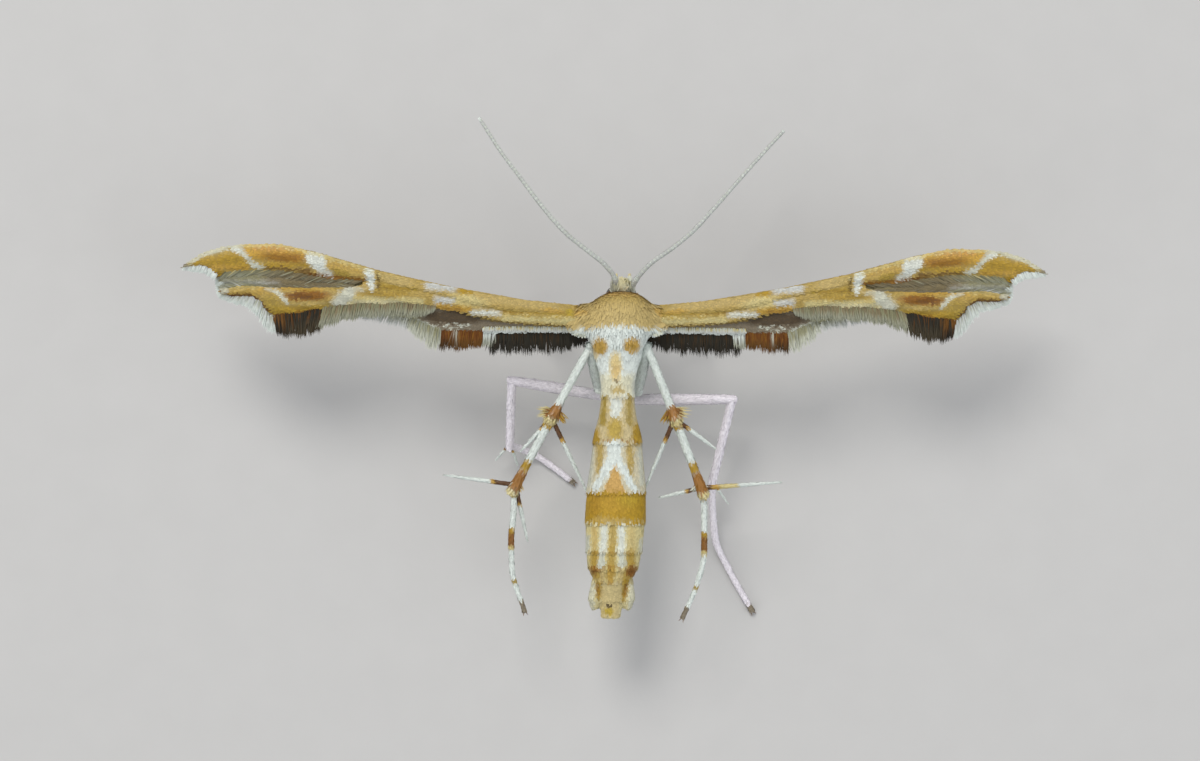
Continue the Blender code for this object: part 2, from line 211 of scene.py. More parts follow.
def strokes(colours, p, marks):         # each mark: shape, colour, strength, its measures
    shapes = {"bar": bar, "oval": oval, "patch": patch}
    return layAll(colours, ((shapes[shape](p, *measures), name, strength)
                            for shape, name, strength, *measures in marks))


wing = {
    "middle": 0.02, "turn": 0.0075, "reach": 11.0,
    "height": 3.22, "arch": 0.3, "crest": 0.55, "droop": 0.2, "pitch": 0.12, "spacing": 0.58,
    "root": 0.3, "cleft": 6.2,
    "thick": 0.05, "rows": 15, "stations": 0.06,
    "lobeOneReach": 10.97, "lobeTwoReach": 10.0, "hindReach": 10.0,
    "costa": curve((0.2, 1.56), (2.2, 1.74), (4.2, 2.08), (6.0, 2.47), (7.7, 2.95), (8.7, 3.13),
                   (9.6, 3.09), (10.4, 2.89), (10.97, 2.56)),
    "fold": curve((0.2, 1.36), (1.3, 1.41), (2.8, 1.50), (4.4, 1.85), (6.2, 2.24)),
    "lobeOneRear": curve((6.2, 2.24), (7.3, 2.32), (8.0, 2.43), (8.9, 2.51), (9.85, 2.47), (10.08, 2.30),
                         (10.22, 2.46), (10.5, 2.56), (10.97, 2.53)),
    "lobeTwoFront": curve((6.2, 2.24), (6.5, 2.06), (7.2, 2.02), (8.6, 2.02), (9.4, 2.05), (10.0, 1.98)),
    "rear": curve((0.2, 1.04), (1.2, 1.12), (2.0, 1.16), (3.0, 1.24), (3.5, 1.36), (4.0, 1.49), (4.6, 1.58),
                  (5.0, 1.62), (5.6, 1.64), (6.5, 1.62), (7.0, 1.58), (7.5, 1.50), (8.0, 1.43), (8.5, 1.35),
                  (8.70, 1.34), (8.85, 1.48), (9.0, 1.67), (9.3, 1.81), (9.6, 1.80), (10.0, 1.86)),
    "hindFront": curve((0.2, 1.40), (3.0, 1.70), (5.0, 2.02), (6.5, 2.38), (8.0, 2.54), (9.4, 2.60),
                       (9.8, 2.55), (10.0, 2.34)),
    "hindRear": curve((0.2, 0.98), (1.5, 0.97), (3.0, 0.95), (4.4, 0.95), (4.8, 1.12), (5.5, 1.34),
                      (6.5, 1.52), (8.0, 1.70), (9.4, 1.94), (10.0, 2.12)),
    "planeFront": curve((0.2, 1.60), (2.2, 1.78), (4.2, 2.12), (6.0, 2.51), (7.7, 2.99), (8.7, 3.17),
                        (9.6, 3.13), (10.4, 2.93), (11.0, 2.57)),
    "planeRear": curve((0.2, 0.91), (2.4, 0.91), (3.1, 0.80), (3.35, 0.60), (3.9, 0.62), (4.35, 0.50),
                       (4.60, 0.40), (4.95, 0.95), (5.5, 1.20), (6.5, 1.42), (8.0, 1.62), (9.4, 1.88),
                       (10.1, 2.12)),
}


def wingPlane(out, y):                  # height of the forewing's plane, as the solids have it
    share = out / wing["reach"]
    arch = wing["arch"] * np.sin(np.minimum(share / wing["crest"], 1) * math.pi / 2)
    droop = wing["droop"] * np.maximum(0, (share - wing["crest"]) / (1 - wing["crest"])) ** 2
    chordMiddle = (wing["planeFront"](out) + wing["planeRear"](out)) / 2
    return wing["height"] + arch - droop + wing["pitch"] * (y - chordMiddle)


relief = {                              # how the wings leave their plane
    "dome": 0.15, "lobeDome": 0.13, "hindDome": 0.13,
    "pleat": 0.07, "pleatWidth": 0.07,
    "vein": 0.012, "veinSpacing": 0.27,
    "foreDrop": 0.20, "hindRise": 0.17,
}


def foreRelief(out, y):                 # domed across the chord, each lobe by itself, pleated along the fold
    whole = np.clip((y - wing["rear"](out)) / (wing["costa"](out) - wing["rear"](out)), 0, 1)
    first = y > (wing["lobeOneRear"](out) + wing["lobeTwoFront"](out)) / 2
    low = np.where(first, wing["lobeOneRear"](out), wing["rear"](out))
    high = np.where(first, wing["costa"](out), wing["lobeTwoFront"](out))
    lobe = np.clip((y - low) / np.maximum(high - low, 0.02), 0, 1)
    split = step(5.2, 7.2, out)         # the lobes part here
    dome = relief["dome"] * 4 * whole * (1 - whole) * (1 - split)
    dome = dome + relief["lobeDome"] * 4 * lobe * (1 - lobe) * split
    pleat = relief["pleat"] * np.exp(-((y - wing["fold"](out)) / relief["pleatWidth"]) ** 2)
    pleat = pleat * window(out, (0.8, 1.6), (6.0, 6.6))
    veins = relief["vein"] * np.cos((y - wing["costa"](out)) * 2 * math.pi / relief["veinSpacing"])
    return -relief["foreDrop"] + dome - pleat + veins * step(1.0, 2.0, out)


def hindRelief(out, y):
    share = np.clip((y - wing["hindRear"](out)) / (wing["hindFront"](out) - wing["hindRear"](out)), 0, 1)
    return -wing["spacing"] + relief["hindRise"] + relief["hindDome"] * 4 * share * (1 - share)


def wingPoint(side, out, y, rise):      # a point of a wing from its place along and across it
    z = wingPlane(out, y) + rise(out, y)
    return np.stack((wing["middle"] + side * out, y - side * wing["turn"] * out, z), axis=-1)


def wingFrame(side, out, y, rise):      # a point and the outward, forward and upward directions there
    gap = 0.02                          # between the places that a slope is read from
    here = wingPoint(side, out, y, rise)
    outward = unit(wingPoint(side, out + gap, y, rise) - here)
    forward = unit(wingPoint(side, out, y + gap, rise) - wingPoint(side, out, y - gap, rise))
    upward = unit(np.cross(outward, forward)) * side
    return here, outward, forward, upward


def foldThen(edge):                     # the fold as far as the cleft, and then an edge of the cleft
    return lambda out: np.where(out < wing["cleft"], wing["fold"](out), wing[edge](out))


foreStrips = {                          # front edge, rear edge, how far out: both start at the root
    "front": (wing["costa"], foldThen("lobeOneRear"), wing["lobeOneReach"]),
    "rear": (foldThen("lobeTwoFront"), wing["rear"], wing["lobeTwoReach"]),
}
hindStrips = {"whole": (wing["hindFront"], wing["hindRear"], wing["hindReach"])}

foreMarks = [
    ("oval", "straw", 0.5, (5.5, 2.24), (0.42, 0.13), 0.22),
    ("bar", "straw", 0.5, (1.5, 1.60), (3.9, 1.88), (0.10, 0.12), 0.08),
    ("bar", "honey", 0.9, (5.0, 2.00), (5.98, 2.06), (0.05, 0.09), 0.05),
    ("bar", "rust", 0.3, (5.2, 2.00), (5.95, 2.05), (0.02, 0.04), 0.05),
    ("bar", "cream", 1.0, (1.0, 1.25), (2.8, 1.31), (0.07, 0.06)),
    ("bar", "honey", 0.6, (0.9, 1.64), (4.0, 2.06), (0.03, 0.04), 0.04),
    ("oval", "yolk", 0.8, (1.12, 1.45), (0.13, 0.09)),
    ("oval", "ochre", 0.6, (1.55, 1.50), (0.30, 0.06), 0.15),
    ("bar", "honey", 0.85, (1.25, 1.39), (2.9, 1.49), (0.035, 0.050)),
    ("bar", "rust", 0.4, (1.9, 1.42), (2.9, 1.48), (0.012, 0.020), 0.02),
    ("oval", "amber", 0.9, (3.80, 1.96), (0.22, 0.07), 0.15),
    ("oval", "cream", 0.85, (3.75, 1.74), (0.50, 0.13), 0.15, 0.5),
    ("bar", "pearl", 0.95, (4.07, 2.05), (4.66, 2.13), (0.09, 0.13), 0.08),
    ("bar", "pearl", 0.9, (4.10, 1.74), (4.48, 1.75), (0.07, 0.09), 0.07),
    ("bar", "gold", 0.7, (4.20, 1.90), (4.75, 1.94), (0.02, 0.03), 0.05),
    ("bar", "ochre", 0.95, (3.65, 1.52), (4.45, 1.62), (0.05, 0.07)),
    ("bar", "rust", 0.45, (3.85, 1.52), (4.40, 1.60), (0.03, 0.04)),
    ("bar", "white", 0.85, (2.92, 1.42), (3.60, 1.46), (0.05, 0.055), 0.06),
    ("bar", "amber", 0.5, (5.30, 1.90), (6.45, 1.90), (0.045, 0.05), 0.05),
    ("bar", "cream", 1.0, (4.90, 1.72), (6.70, 1.74), (0.08, 0.10), 0.06),
    ("bar", "milk", 0.4, (5.40, 1.70), (6.60, 1.70), (0.03, 0.05), 0.06),
    ("bar", "milk", 0.9, (6.75, 1.90), (7.05, 1.62), (0.16, 0.16), 0.08),
    ("bar", "milk", 0.6, (6.35, 2.00), (6.75, 1.98), (0.05, 0.07), 0.06),
    ("bar", "honey", 0.6, (7.25, 1.58), (8.65, 1.45), (0.12, 0.14), 0.06),
    ("bar", "amber", 0.65, (7.45, 1.54), (8.65, 1.45), (0.07, 0.09), 0.06),
    ("oval", "rust", 0.95, (7.82, 1.83), (0.58, 0.12), -0.02, 0.35),
    ("oval", "chestnut", 0.6, (7.98, 1.81), (0.32, 0.07), 0.0, 0.5),
    ("bar", "ochre", 0.8, (7.40, 1.97), (9.0, 2.00), (0.035, 0.035)),
    ("bar", "straw", 0.5, (7.35, 1.66), (8.35, 1.62), (0.030, 0.030)),
    ("bar", "ochre", 0.2, (8.75, 1.92), (9.75, 1.94), (0.12, 0.08), 0.05),
    ("bar", "amber", 0.35, (9.0, 1.88), (9.75, 1.90), (0.04, 0.03), 0.05),
    ("oval", "honey", 0.6, (8.70, 1.60), (0.22, 0.25), 0.0, 0.6),
    ("bar", "milk", 0.7, (8.90, 2.01), (8.62, 1.93), (0.03, 0.05), 0.04),
    ("bar", "milk", 0.9, (8.58, 1.93), (8.30, 1.67), (0.060, 0.045)),
    ("oval", "rust", 0.9, (9.78, 1.80), (0.22, 0.06)),
    ("oval", "milk", 0.8, (9.93, 1.94), (0.12, 0.08)),
    ("bar", "cream", 0.75, (9.0, 2.02), (9.85, 2.00), (0.020, 0.025)),
    ("bar", "ochre", 0.95, (8.05, 2.95), (9.25, 2.98), (0.27, 0.20), 0.08),
    ("bar", "apricot", 0.8, (8.15, 3.02), (9.10, 3.03), (0.06, 0.06), 0.06),
    ("oval", "rust", 0.75, (8.35, 2.79), (0.55, 0.10), 0.04, 0.5),
    ("oval", "rust", 0.35, (8.75, 2.90), (0.30, 0.05), -0.05, 0.5),
    ("bar", "amber", 0.8, (7.75, 2.62), (8.85, 2.64), (0.05, 0.05)),
    ("bar", "chestnut", 0.85, (7.75, 2.50), (8.85, 2.56), (0.030, 0.025)),
    ("bar", "rust", 0.9, (6.30, 2.26), (7.75, 2.38), (0.045, 0.060)),
    ("bar", "chestnut", 0.7, (7.30, 2.36), (7.95, 2.45), (0.030, 0.045)),
    ("bar", "ochre", 0.35, (6.45, 2.50), (7.15, 2.66), (0.11, 0.12), 0.06),
    ("bar", "honey", 0.8, (6.75, 2.38), (7.10, 2.48), (0.05, 0.06), 0.06),
    ("bar", "amber", 0.75, (9.45, 2.74), (10.7, 2.68), (0.19, 0.05), 0.05),
    ("bar", "ochre", 0.8, (9.35, 2.56), (10.3, 2.56), (0.05, 0.05), 0.04),
    ("oval", "amber", 0.9, (10.08, 2.38), (0.12, 0.12), 0.0, 0.5),
    ("bar", "white", 0.9, (7.95, 3.08), (7.45, 2.92), (0.055, 0.10), 0.05),
    ("bar", "white", 0.85, (7.62, 2.82), (7.50, 2.70), (0.21, 0.19), 0.06),
    ("bar", "white", 0.75, (7.45, 2.52), (7.22, 2.42), (0.10, 0.07), 0.06),
    ("bar", "white", 0.85, (9.70, 3.03), (9.45, 2.93), (0.07, 0.08), 0.05),
    ("bar", "milk", 0.9, (9.45, 2.92), (9.22, 2.72), (0.07, 0.055), 0.04),
    ("bar", "milk", 1.0, (9.16, 2.62), (8.95, 2.57), (0.07, 0.05), 0.04),
    ("bar", "white", 0.9, (6.22, 2.46), (6.14, 2.04), (0.13, 0.06), 0.05),
    ("bar", "umber", 0.75, (5.985, 2.54), (5.985, 1.97), (0.028, 0.026), 0.02),
]
hindMarks = [
    ("patch", "sedge", 0.9, ((4.95, 1.0), (10.1, 1.0), (10.1, 2.7), (4.95, 2.7)), 0.12),
    ("patch", "olive", 0.85, ((6.2, 1.9), (8.9, 1.9), (8.9, 2.7), (6.2, 2.7)), 0.25),
    ("bar", "cream", 0.5, (6.2, 2.10), (7.0, 2.10), (0.08, 0.08), 0.08),
    ("bar", "rust", 0.5, (6.3, 2.30), (8.4, 2.46), (0.07, 0.05), 0.06),
    ("bar", "pearl", 0.55, (8.6, 2.12), (9.9, 2.14), (0.07, 0.09), 0.10),
    ("bar", "mauve", 0.6, (0.8, 1.10), (3.0, 1.12), (0.06, 0.07), 0.04),
    # cream on the strip beneath the forewing's edge: partly its own pale band, partly painted light against
    # the forewing's shadow
    ("bar", "cream", 0.45, (1.0, 1.07), (3.0, 1.09), (0.03, 0.03), 0.03),
    ("oval", "umber", 0.8, (4.10, 1.32), (0.80, 0.17), 0.03, 0.35),
    ("bar", "mauve", 0.8, (3.35, 1.06), (4.30, 1.10), (0.07, 0.06)),
    ("bar", "milk", 0.9, (3.60, 1.08), (3.80, 1.18), (0.014, 0.014), 0.012),
    ("bar", "milk", 0.9, (3.80, 1.09), (4.05, 1.19), (0.014, 0.014), 0.012),
    ("bar", "milk", 0.9, (3.95, 1.05), (4.22, 1.16), (0.014, 0.014), 0.012),
    ("bar", "milk", 0.9, (4.12, 1.03), (4.36, 1.12), (0.014, 0.014), 0.012),
    ("bar", "white", 0.9, (1.0, 0.99), (3.3, 0.97), (0.045, 0.06), 0.02),
    ("bar", "brick", 0.9, (3.40, 0.96), (4.40, 0.96), (0.05, 0.05), 0.02),
    ("bar", "milk", 0.9, (4.55, 1.02), (5.05, 1.20), (0.10, 0.09), 0.04),
]


def foreColours(out, y):                # the forewing's pattern
    toCosta, toRear, toLobe = wing["costa"](out) - y, y - wing["rear"](out), y - wing["lobeOneRear"](out)
    dots = (0.5 + 0.5 * np.cos(out * 2 * math.pi / 0.17)) * np.exp(-((toCosta - 0.07) / 0.035) ** 2)
    rim = curve((9.3, 0.02), (9.7, 0.08), (10.4, 0.09), (10.97, 0.04))(out)
    base = strokes(flat("gold", len(out)), np.stack((out, y), axis=-1), foreMarks)
    return layAll(base, (
        ((1 - step(0.03, 0.10, toCosta)) * step(5.8, 6.8, out), "cream", 0.6),
        (dots * window(out, (5.0, 6.2), (9.0, 9.4)), "cream", 0.75),
        ((1 - step(rim - 0.03, rim + 0.03, toCosta)) * step(9.2, 9.6, out), "milk", 0.7),
        # umber along the forewing's rear edge: partly the edge's own brown, partly painted shadow of the edge
        ((1 - step(0.01, 0.04, toRear)) * window(out, (1.1, 1.4), (3.3, 3.8)), "umber", 0.7),
        ((1 - step(0.05, 0.12, toRear)) * window(out, (8.6, 8.8), (9.8, 10.0)), "chestnut", 0.9),
        ((1 - step(0.02, 0.08, toRear)) * window(out, (7.4, 7.7), (8.7, 8.8)), "rust", 0.7),
        ((1 - step(0.02, 0.06, toLobe)) * step(9.95, 10.1, out) * (toLobe > -0.02), "chestnut", 0.8),
    ))


def hindColours(out, y):
    return strokes(flat("mauve", len(out)), np.stack((out, y), axis=-1), hindMarks)


def underside(paint):                   # the same pattern, darker and redder
    return paint * 0.5 + np.array(palette["rust"]) * 0.4


def wingSheet(side, strips, rise, colours):        # closed shell of a wing, its root left open in the thorax
    points, faces, paints, count = [], [], [], 0
    rows = wing["rows"]
    for front, rear, reach in strips.values():
        spacing = wing["stations"]
        stations = np.concatenate((np.arange(wing["root"], reach - spacing / 2, spacing), [reach]))
        out = np.repeat(stations, rows)
        share = np.tile(np.linspace(0, 1, rows), len(stations))
        y = rear(out) + (front(out) - rear(out)) * share
        here, _, _, upward = wingFrame(side, out, y, rise)
        taper = np.minimum(1, np.minimum(share, 1 - share) * 6 + 0.25)[:, None]
        paint = colours(out, y)
        quads = gridFaces(len(stations), rows)
        for sign in (1, -1):
            points.append(here + upward * wing["thick"] / 2 * sign * taper)
            faces.append((quads if sign * side > 0 else quads[:, ::-1]) + count)
            paints.append(paint if sign > 0 else underside(paint))
            count += len(here)
        top, under = count - 2 * len(here), count - len(here)
        edge = np.arange(len(stations) - 1) * rows
        inCleft = stations[:-1] >= wing["cleft"] - 0.01
        for offset, strip in ((0, "front"), (rows - 1, "rear")):
            a = edge[inCleft if front is foreStrips[strip][0] else edge >= 0] + offset
            quad = np.stack((a + top, a + rows + top, a + rows + under, a + under), axis=-1)
            faces.append(quad if (offset == 0) == (side < 0) else quad[:, ::-1])
        a = np.arange(rows - 1) + (len(stations) - 1) * rows
        quad = np.stack((a + top, a + 1 + top, a + 1 + under, a + under), axis=-1)
        faces.append(quad if side < 0 else quad[:, ::-1])
    return np.concatenate(points), np.concatenate(faces), np.concatenate(paints)


scaleForms = {                          # shares along a scale and its width there
    "tile": ((0.0, 0.5), (0.35, 1.0), (0.8, 0.9), (1.0, 0.35)),
    "spoon": ((0.0, 0.25), (0.5, 0.8), (0.85, 1.0), (1.0, 0.45)),
    "hair": ((0.0, 0.8), (0.4, 1.0), (0.75, 0.65), (1.0, 0.12)),
}


def layCoat(name, form, roots, along, up, length, width, lift, curl, colours, chance, spot,
            ridged=False, tips=None):
    # one joined mesh of thin scales: each starts at its root, lies along the body and lifts towards its tip
    count = len(roots)
    stations = scaleForms[form]
    across = (-1.0, 0.0, 1.0) if ridged else (-1.0, 1.0)
    sideways = unit(np.cross(along, up))
    points = np.empty((count, len(stations), len(across), 3))
    reach = np.empty((count, len(stations), len(across)))
    places = np.empty((count, len(stations), len(across), 2))
    for k, (share, wide) in enumerate(stations):
        rise = length * (np.sin(lift) * share - curl * share * share)
        centre = roots + along * (length * np.cos(lift) * share)[:, None] + up * rise[:, None]
        for j, c in enumerate(across):
            dip = width * wide * model["ridge"] * (c * c if ridged else 0)
            points[:, k, j] = centre + sideways * (width * wide * c / 2)[:, None] - up * dip[:, None]
            reach[:, k, j] = share
            places[:, k, j] = spot + np.array((c * 0.5, share - 0.5)) * model["tuftPatch"]
    n = len(stations) * len(across)
    faces = (np.arange(count)[:, None, None] * n + gridFaces(len(stations), len(across))[None]).reshape(-1, 4)
    piece = meshFrom(name, points.reshape(-1, 3), faces)
    paint = np.repeat(colours, n, axis=0)
    if tips is not None:
        share = step(0.25, 0.95, reach.reshape(-1, 1))
        paint = paint * (1 - share) + np.repeat(tips, n, axis=0) * share
    colourPoints(piece, paint)
    numberPoints(piece, "chance", np.repeat(chance, n))
    numberPoints(piece, "reach", reach.ravel())
    uv = piece.data.uv_layers.new(name="OFBake")
    uv.data.foreach_set("uv", places.reshape(-1, 2)[faces.ravel()].astype(np.float32).ravel())
    return piece


def joined(name, pieces):               # several meshes as one piece
    for other in bpy.context.selected_objects:
        other.select_set(False)
    for piece in pieces:
        piece.select_set(True)
    bpy.context.view_layer.objects.active = pieces[0]
    bpy.ops.object.join()
    pieces[0].name = name
    return pieces[0]


def spotOn(x, y):                       # a place on the unwrap, kept clear of its rim
    return np.stack((0.01 + 0.98 * x, 0.01 + 0.98 * y), axis=-1)


wingCoat = {
    "length": 0.11, "width": 0.050, "stepOut": 0.046, "stepAcross": 0.036,
    "lift": 0.10, "wander": 0.10, "blur": 0.018,
    "jitter": (0.4, 0.35),              # shares of a step, outwards and across
    "start": 0.45, "bare": 0.5,         # the first row, and the least that a scale is out from the body
    "edgeGap": 0.005, "endGap": 0.02,
    "swing": (0.10, 0.35, 0.12),        # turn back from outward, more of it at the rear, less in front
}


def wingScales(side, strips, rise, colours, top, seed):
    rng = np.random.default_rng(seed)
    pieces = []
    stepOut, stepAcross, jitter = wingCoat["stepOut"], wingCoat["stepAcross"], wingCoat["jitter"]
    back, more, less = wingCoat["swing"]
    for front, rear, reach in strips.values():
        stations = np.arange(wingCoat["start"], reach, stepOut)
        out, y = np.meshgrid(stations, np.arange(0.9, 3.3, stepAcross), indexing="ij")
        y = y + (np.arange(len(stations)) % 2)[:, None] * stepAcross / 2
        out = (out + rng.uniform(-jitter[0], jitter[0], out.shape) * stepOut).ravel()
        y = (y + rng.uniform(-jitter[1], jitter[1], y.shape) * stepAcross).ravel()
        inside = (y < front(out) - wingCoat["edgeGap"]) & (y > rear(out) + wingCoat["edgeGap"])
        inside = inside & (out < reach - wingCoat["endGap"]) & (out > wingCoat["bare"])
        out, y = out[inside], y[inside]
        count = len(out)
        here, outward, forward, upward = wingFrame(side, out, y, rise)
        share = (y - rear(out)) / (front(out) - rear(out))
        swing = back + more * (1 - share) ** 3 - less * share ** 4 + rng.normal(0, wingCoat["wander"], count)
        along = unit(outward * np.cos(swing)[:, None] - forward * np.sin(swing)[:, None])
        upward = upward * (1.0 if top else -1.0)
        roots = here + upward * wing["thick"] / 2 * 0.8
        length = wingCoat["length"] * rng.uniform(0.8, 1.2, count)
        width = wingCoat["width"] * rng.uniform(0.8, 1.2, count)
        lift = wingCoat["lift"] * rng.uniform(0.4, 1.6, count)
        blur = rng.normal(0, wingCoat["blur"], (2, count))
        paint = colours(out + blur[0] + 0.06, np.clip(y + blur[1], rear(out), front(out)))
        if not top:
            paint = underside(paint)
        low = 0.52 if top else 0.02     # the two faces share the unwrap
        spot = np.stack((0.01 + 0.98 * out / 11.2, low + 0.46 * (y - 0.8) / 2.5), axis=-1)
        pieces.append(layCoat("wingScales", "tile", roots, along, upward, length, width, lift, lift * 0.3,
                              paint, rng.uniform(0, 1, count), spot))
    return pieces


fringes = {     # how far out, how far forward, the hairs' angle back from outward, their length
    "rear": ((4.55, 1.57, 84, 0.10), (4.85, 1.60, 80, 0.32), (5.5, 1.64, 82, 0.34), (6.3, 1.62, 80, 0.36),
             (6.9, 1.58, 76, 0.44), (7.2, 1.54, 74, 0.54), (7.42, 1.51, 76, 0.58)),
    "tooth": ((7.40, 1.51, 76, 0.56), (7.65, 1.475, 81, 0.66), (8.05, 1.415, 88, 0.63),
              (8.35, 1.375, 92, 0.60), (8.58, 1.345, 96, 0.54), (8.70, 1.34, 98, 0.48)),
    "end": ((8.67, 1.34, 90, 0.46), (8.78, 1.39, 86, 0.48), (8.88, 1.50, 78, 0.44), (9.0, 1.68, 71, 0.39),
            (9.2, 1.80, 64, 0.33), (9.5, 1.81, 55, 0.25), (9.75, 1.80, 46, 0.20), (9.95, 1.86, 34, 0.17),
            (10.0, 1.98, 10, 0.16)),
    "hook": ((10.10, 2.34, 50, 0.16), (10.2, 2.45, 66, 0.18), (10.5, 2.56, 66, 0.18),
             (10.94, 2.54, 55, 0.12)),
    "lobe": ((6.35, 2.23, 14, 0.34), (7.2, 2.31, 19, 0.48), (8.5, 2.49, 23, 0.56), (9.5, 2.50, 28, 0.54),
             (9.95, 2.42, 42, 0.30)),
    "under": ((6.5, 2.06, -4, 0.30), (7.4, 2.03, -8, 0.38), (8.6, 2.02, -11, 0.46), (9.4, 2.06, -11, 0.46),
              (9.95, 2.0, -8, 0.20)),
    "costa": ((0.9, 1.62, -12, 0.10), (2.2, 1.74, -12, 0.10), (4.2, 2.08, -8, 0.10), (6.0, 2.47, -4, 0.10),
              (7.7, 2.95, -4, 0.10), (8.7, 3.12, 8, 0.10), (9.6, 3.08, 22, 0.10), (10.4, 2.88, 38, 0.10),
              (10.92, 2.60, 40, 0.10)),
    "hindInner": ((0.7, 0.95, 92, 0.36), (1.5, 0.97, 91, 0.56), (2.3, 0.98, 90, 0.60),
                  (3.18, 0.94, 88, 0.56)),
    "hindWhite": ((3.02, 0.95, 86, 0.36), (3.37, 0.95, 84, 0.44)),
    "hindRim": ((0.75, 1.03, 88, 0.07), (1.5, 1.04, 88, 0.09), (2.6, 1.03, 86, 0.08),
                (3.36, 1.01, 84, 0.06)),
    "hindTooth": ((3.35, 0.95, 88, 0.40), (4.0, 0.95, 88, 0.50), (4.42, 0.96, 86, 0.48)),
    "hindTuft": ((4.42, 0.97, 82, 0.44), (4.62, 1.02, 80, 0.56), (4.9, 1.16, 76, 0.44),
                 (5.2, 1.26, 74, 0.30)),
    "hindOuter": ((5.2, 1.26, 70, 0.28), (7.0, 1.58, 64, 0.26), (9.4, 1.94, 50, 0.22),
                  (9.96, 2.12, 20, 0.16)),
    "hindEnd": ((9.90, 2.06, 40, 0.24), (9.97, 2.14, 34, 0.26), (9.98, 2.34, 26, 0.22)),
}
fringeLook = {  # hairs for each millimetre, width, sag, height; two colours, share of the second, the tips
    "rear": (400, 0.028, 0.06, 0.0, "olive", "sedge", 0.55, "moss"),
    "tooth": (460, 0.030, 0.06, -0.025, "soot", "chestnut", 0.22, "soot"),
    # the end fringe's moss roots are partly painted shade, where the lobe's rim shades them
    "end": (560, 0.030, 0.06, -0.035, "moss", "pearl", 0.5, "white"),
    "hook": (520, 0.030, 0.02, -0.01, "white", "pearl", 0.25, "white"),
    "lobe": (210, 0.024, 0.16, -0.01, "sedge", "cream", 0.12, "moss"),
    "under": (120, 0.024, 0.16, -0.01, "sedge", "pearl", 0.3, "moss"),
    "costa": (90, 0.026, 0.10, 0.0, "gold", "straw", 0.4, "straw"),
    "hindInner": (340, 0.022, 0.06, -0.045, "soot", "umber", 0.35, "soot"),
    "hindWhite": (300, 0.026, 0.06, -0.03, "white", "pearl", 0.4, "moss"),
    "hindRim": (260, 0.022, 0.10, 0.035, "milk", "cream", 0.35, "pearl"),
    "hindTooth": (380, 0.026, 0.06, 0.0, "brick", "rust", 0.3, "umber"),
    "hindTuft": (340, 0.026, 0.06, 0.01, "sedge", "moss", 0.5, "milk"),
    "hindOuter": (110, 0.026, 0.06, 0.0, "moss", "milk", 0.4, "pearl"),
    "hindEnd": (300, 0.026, 0.06, 0.0, "white", "milk", 0.5, "white"),
}


hairWander = {
    "angle": 5.0, "length": (0.70, 1.08),
    "clump": 0.12,                      # how much longer the hairs of a clump are
    "inset": (0.01, 0.08), "level": 0.02, "width": (0.7, 1.3), "sag": 0.05, "curl": 0.05,
}


def fringeHairs(name, side, rise, rng): # rooted just inside an edge of the wing, leaving it along its plane
    perMm, width, sag, level, first, second, share, tip = fringeLook[name]
    stops = np.array(fringes[name], float)
    far = farAlong(stops[:, :2])
    count = int(far[-1] * perMm)
    at = np.sort(rng.uniform(0, far[-1], count))
    out, y, angle, long = (np.interp(at, far, stops[:, c]) for c in range(4))
    angle = np.radians(angle + rng.normal(0, hairWander["angle"], count))
    long = long * rng.uniform(*hairWander["length"], count)
    long *= 1 + hairWander["clump"] * np.sin(at * 23.0) * np.sin(at * 9.7 + 1.3)
    inset = rng.uniform(*hairWander["inset"], count)
    out, y = out - np.cos(angle) * inset, y + np.sin(angle) * inset
    here = wingPoint(side, out, y, rise)
    _, outward, ahead, upward = wingFrame(side, out, y, lambda out, y: 0 * out)
    along = unit(outward * np.cos(angle)[:, None] - ahead * np.sin(angle)[:, None])
    draw = rng.uniform(0, 1, count)
    paint = np.where(draw[:, None] < share, flat(second, count), flat(first, count))
    tips = flat(tip, count)
    if name == "tooth":                 # reddens outwards
        red = step(8.2, 8.5, out)
        paint = lay(paint, red * (draw < 0.75), "rust", 0.6)
        tips = lay(tips, 1 - red, "olive", 0.22)
    if name == "hindTooth":             # parted by a pale strand
        tips = lay(tips, 1 - step(3.9, 4.3, out), "rust", 0.4)
        paint = lay(paint, np.exp(-((out - 4.04) / 0.05) ** 2) * (draw < 0.7), "milk", 0.8)
    if name in ("lobe", "under"):       # darker where the cleft is narrow
        inner = (1 - step(8.0, 9.2, out)) * (draw < 0.9)
        paint = lay(paint, inner, "olive", 0.85)
        tips = lay(tips, inner, "olive", 0.75)
    uneven = rng.uniform(-hairWander["level"], hairWander["level"], count)
    roots = here + upward * (uneven + level)[:, None]
    wide = width * rng.uniform(*hairWander["width"], count)
    lift = rng.normal(-sag, hairWander["sag"], count)
    return layCoat(name, "hair", roots, along, upward, long + inset, wide, lift, hairWander["curl"],
                   paint, draw, spotOn(out / 11.3, y / 3.4), tips=tips)


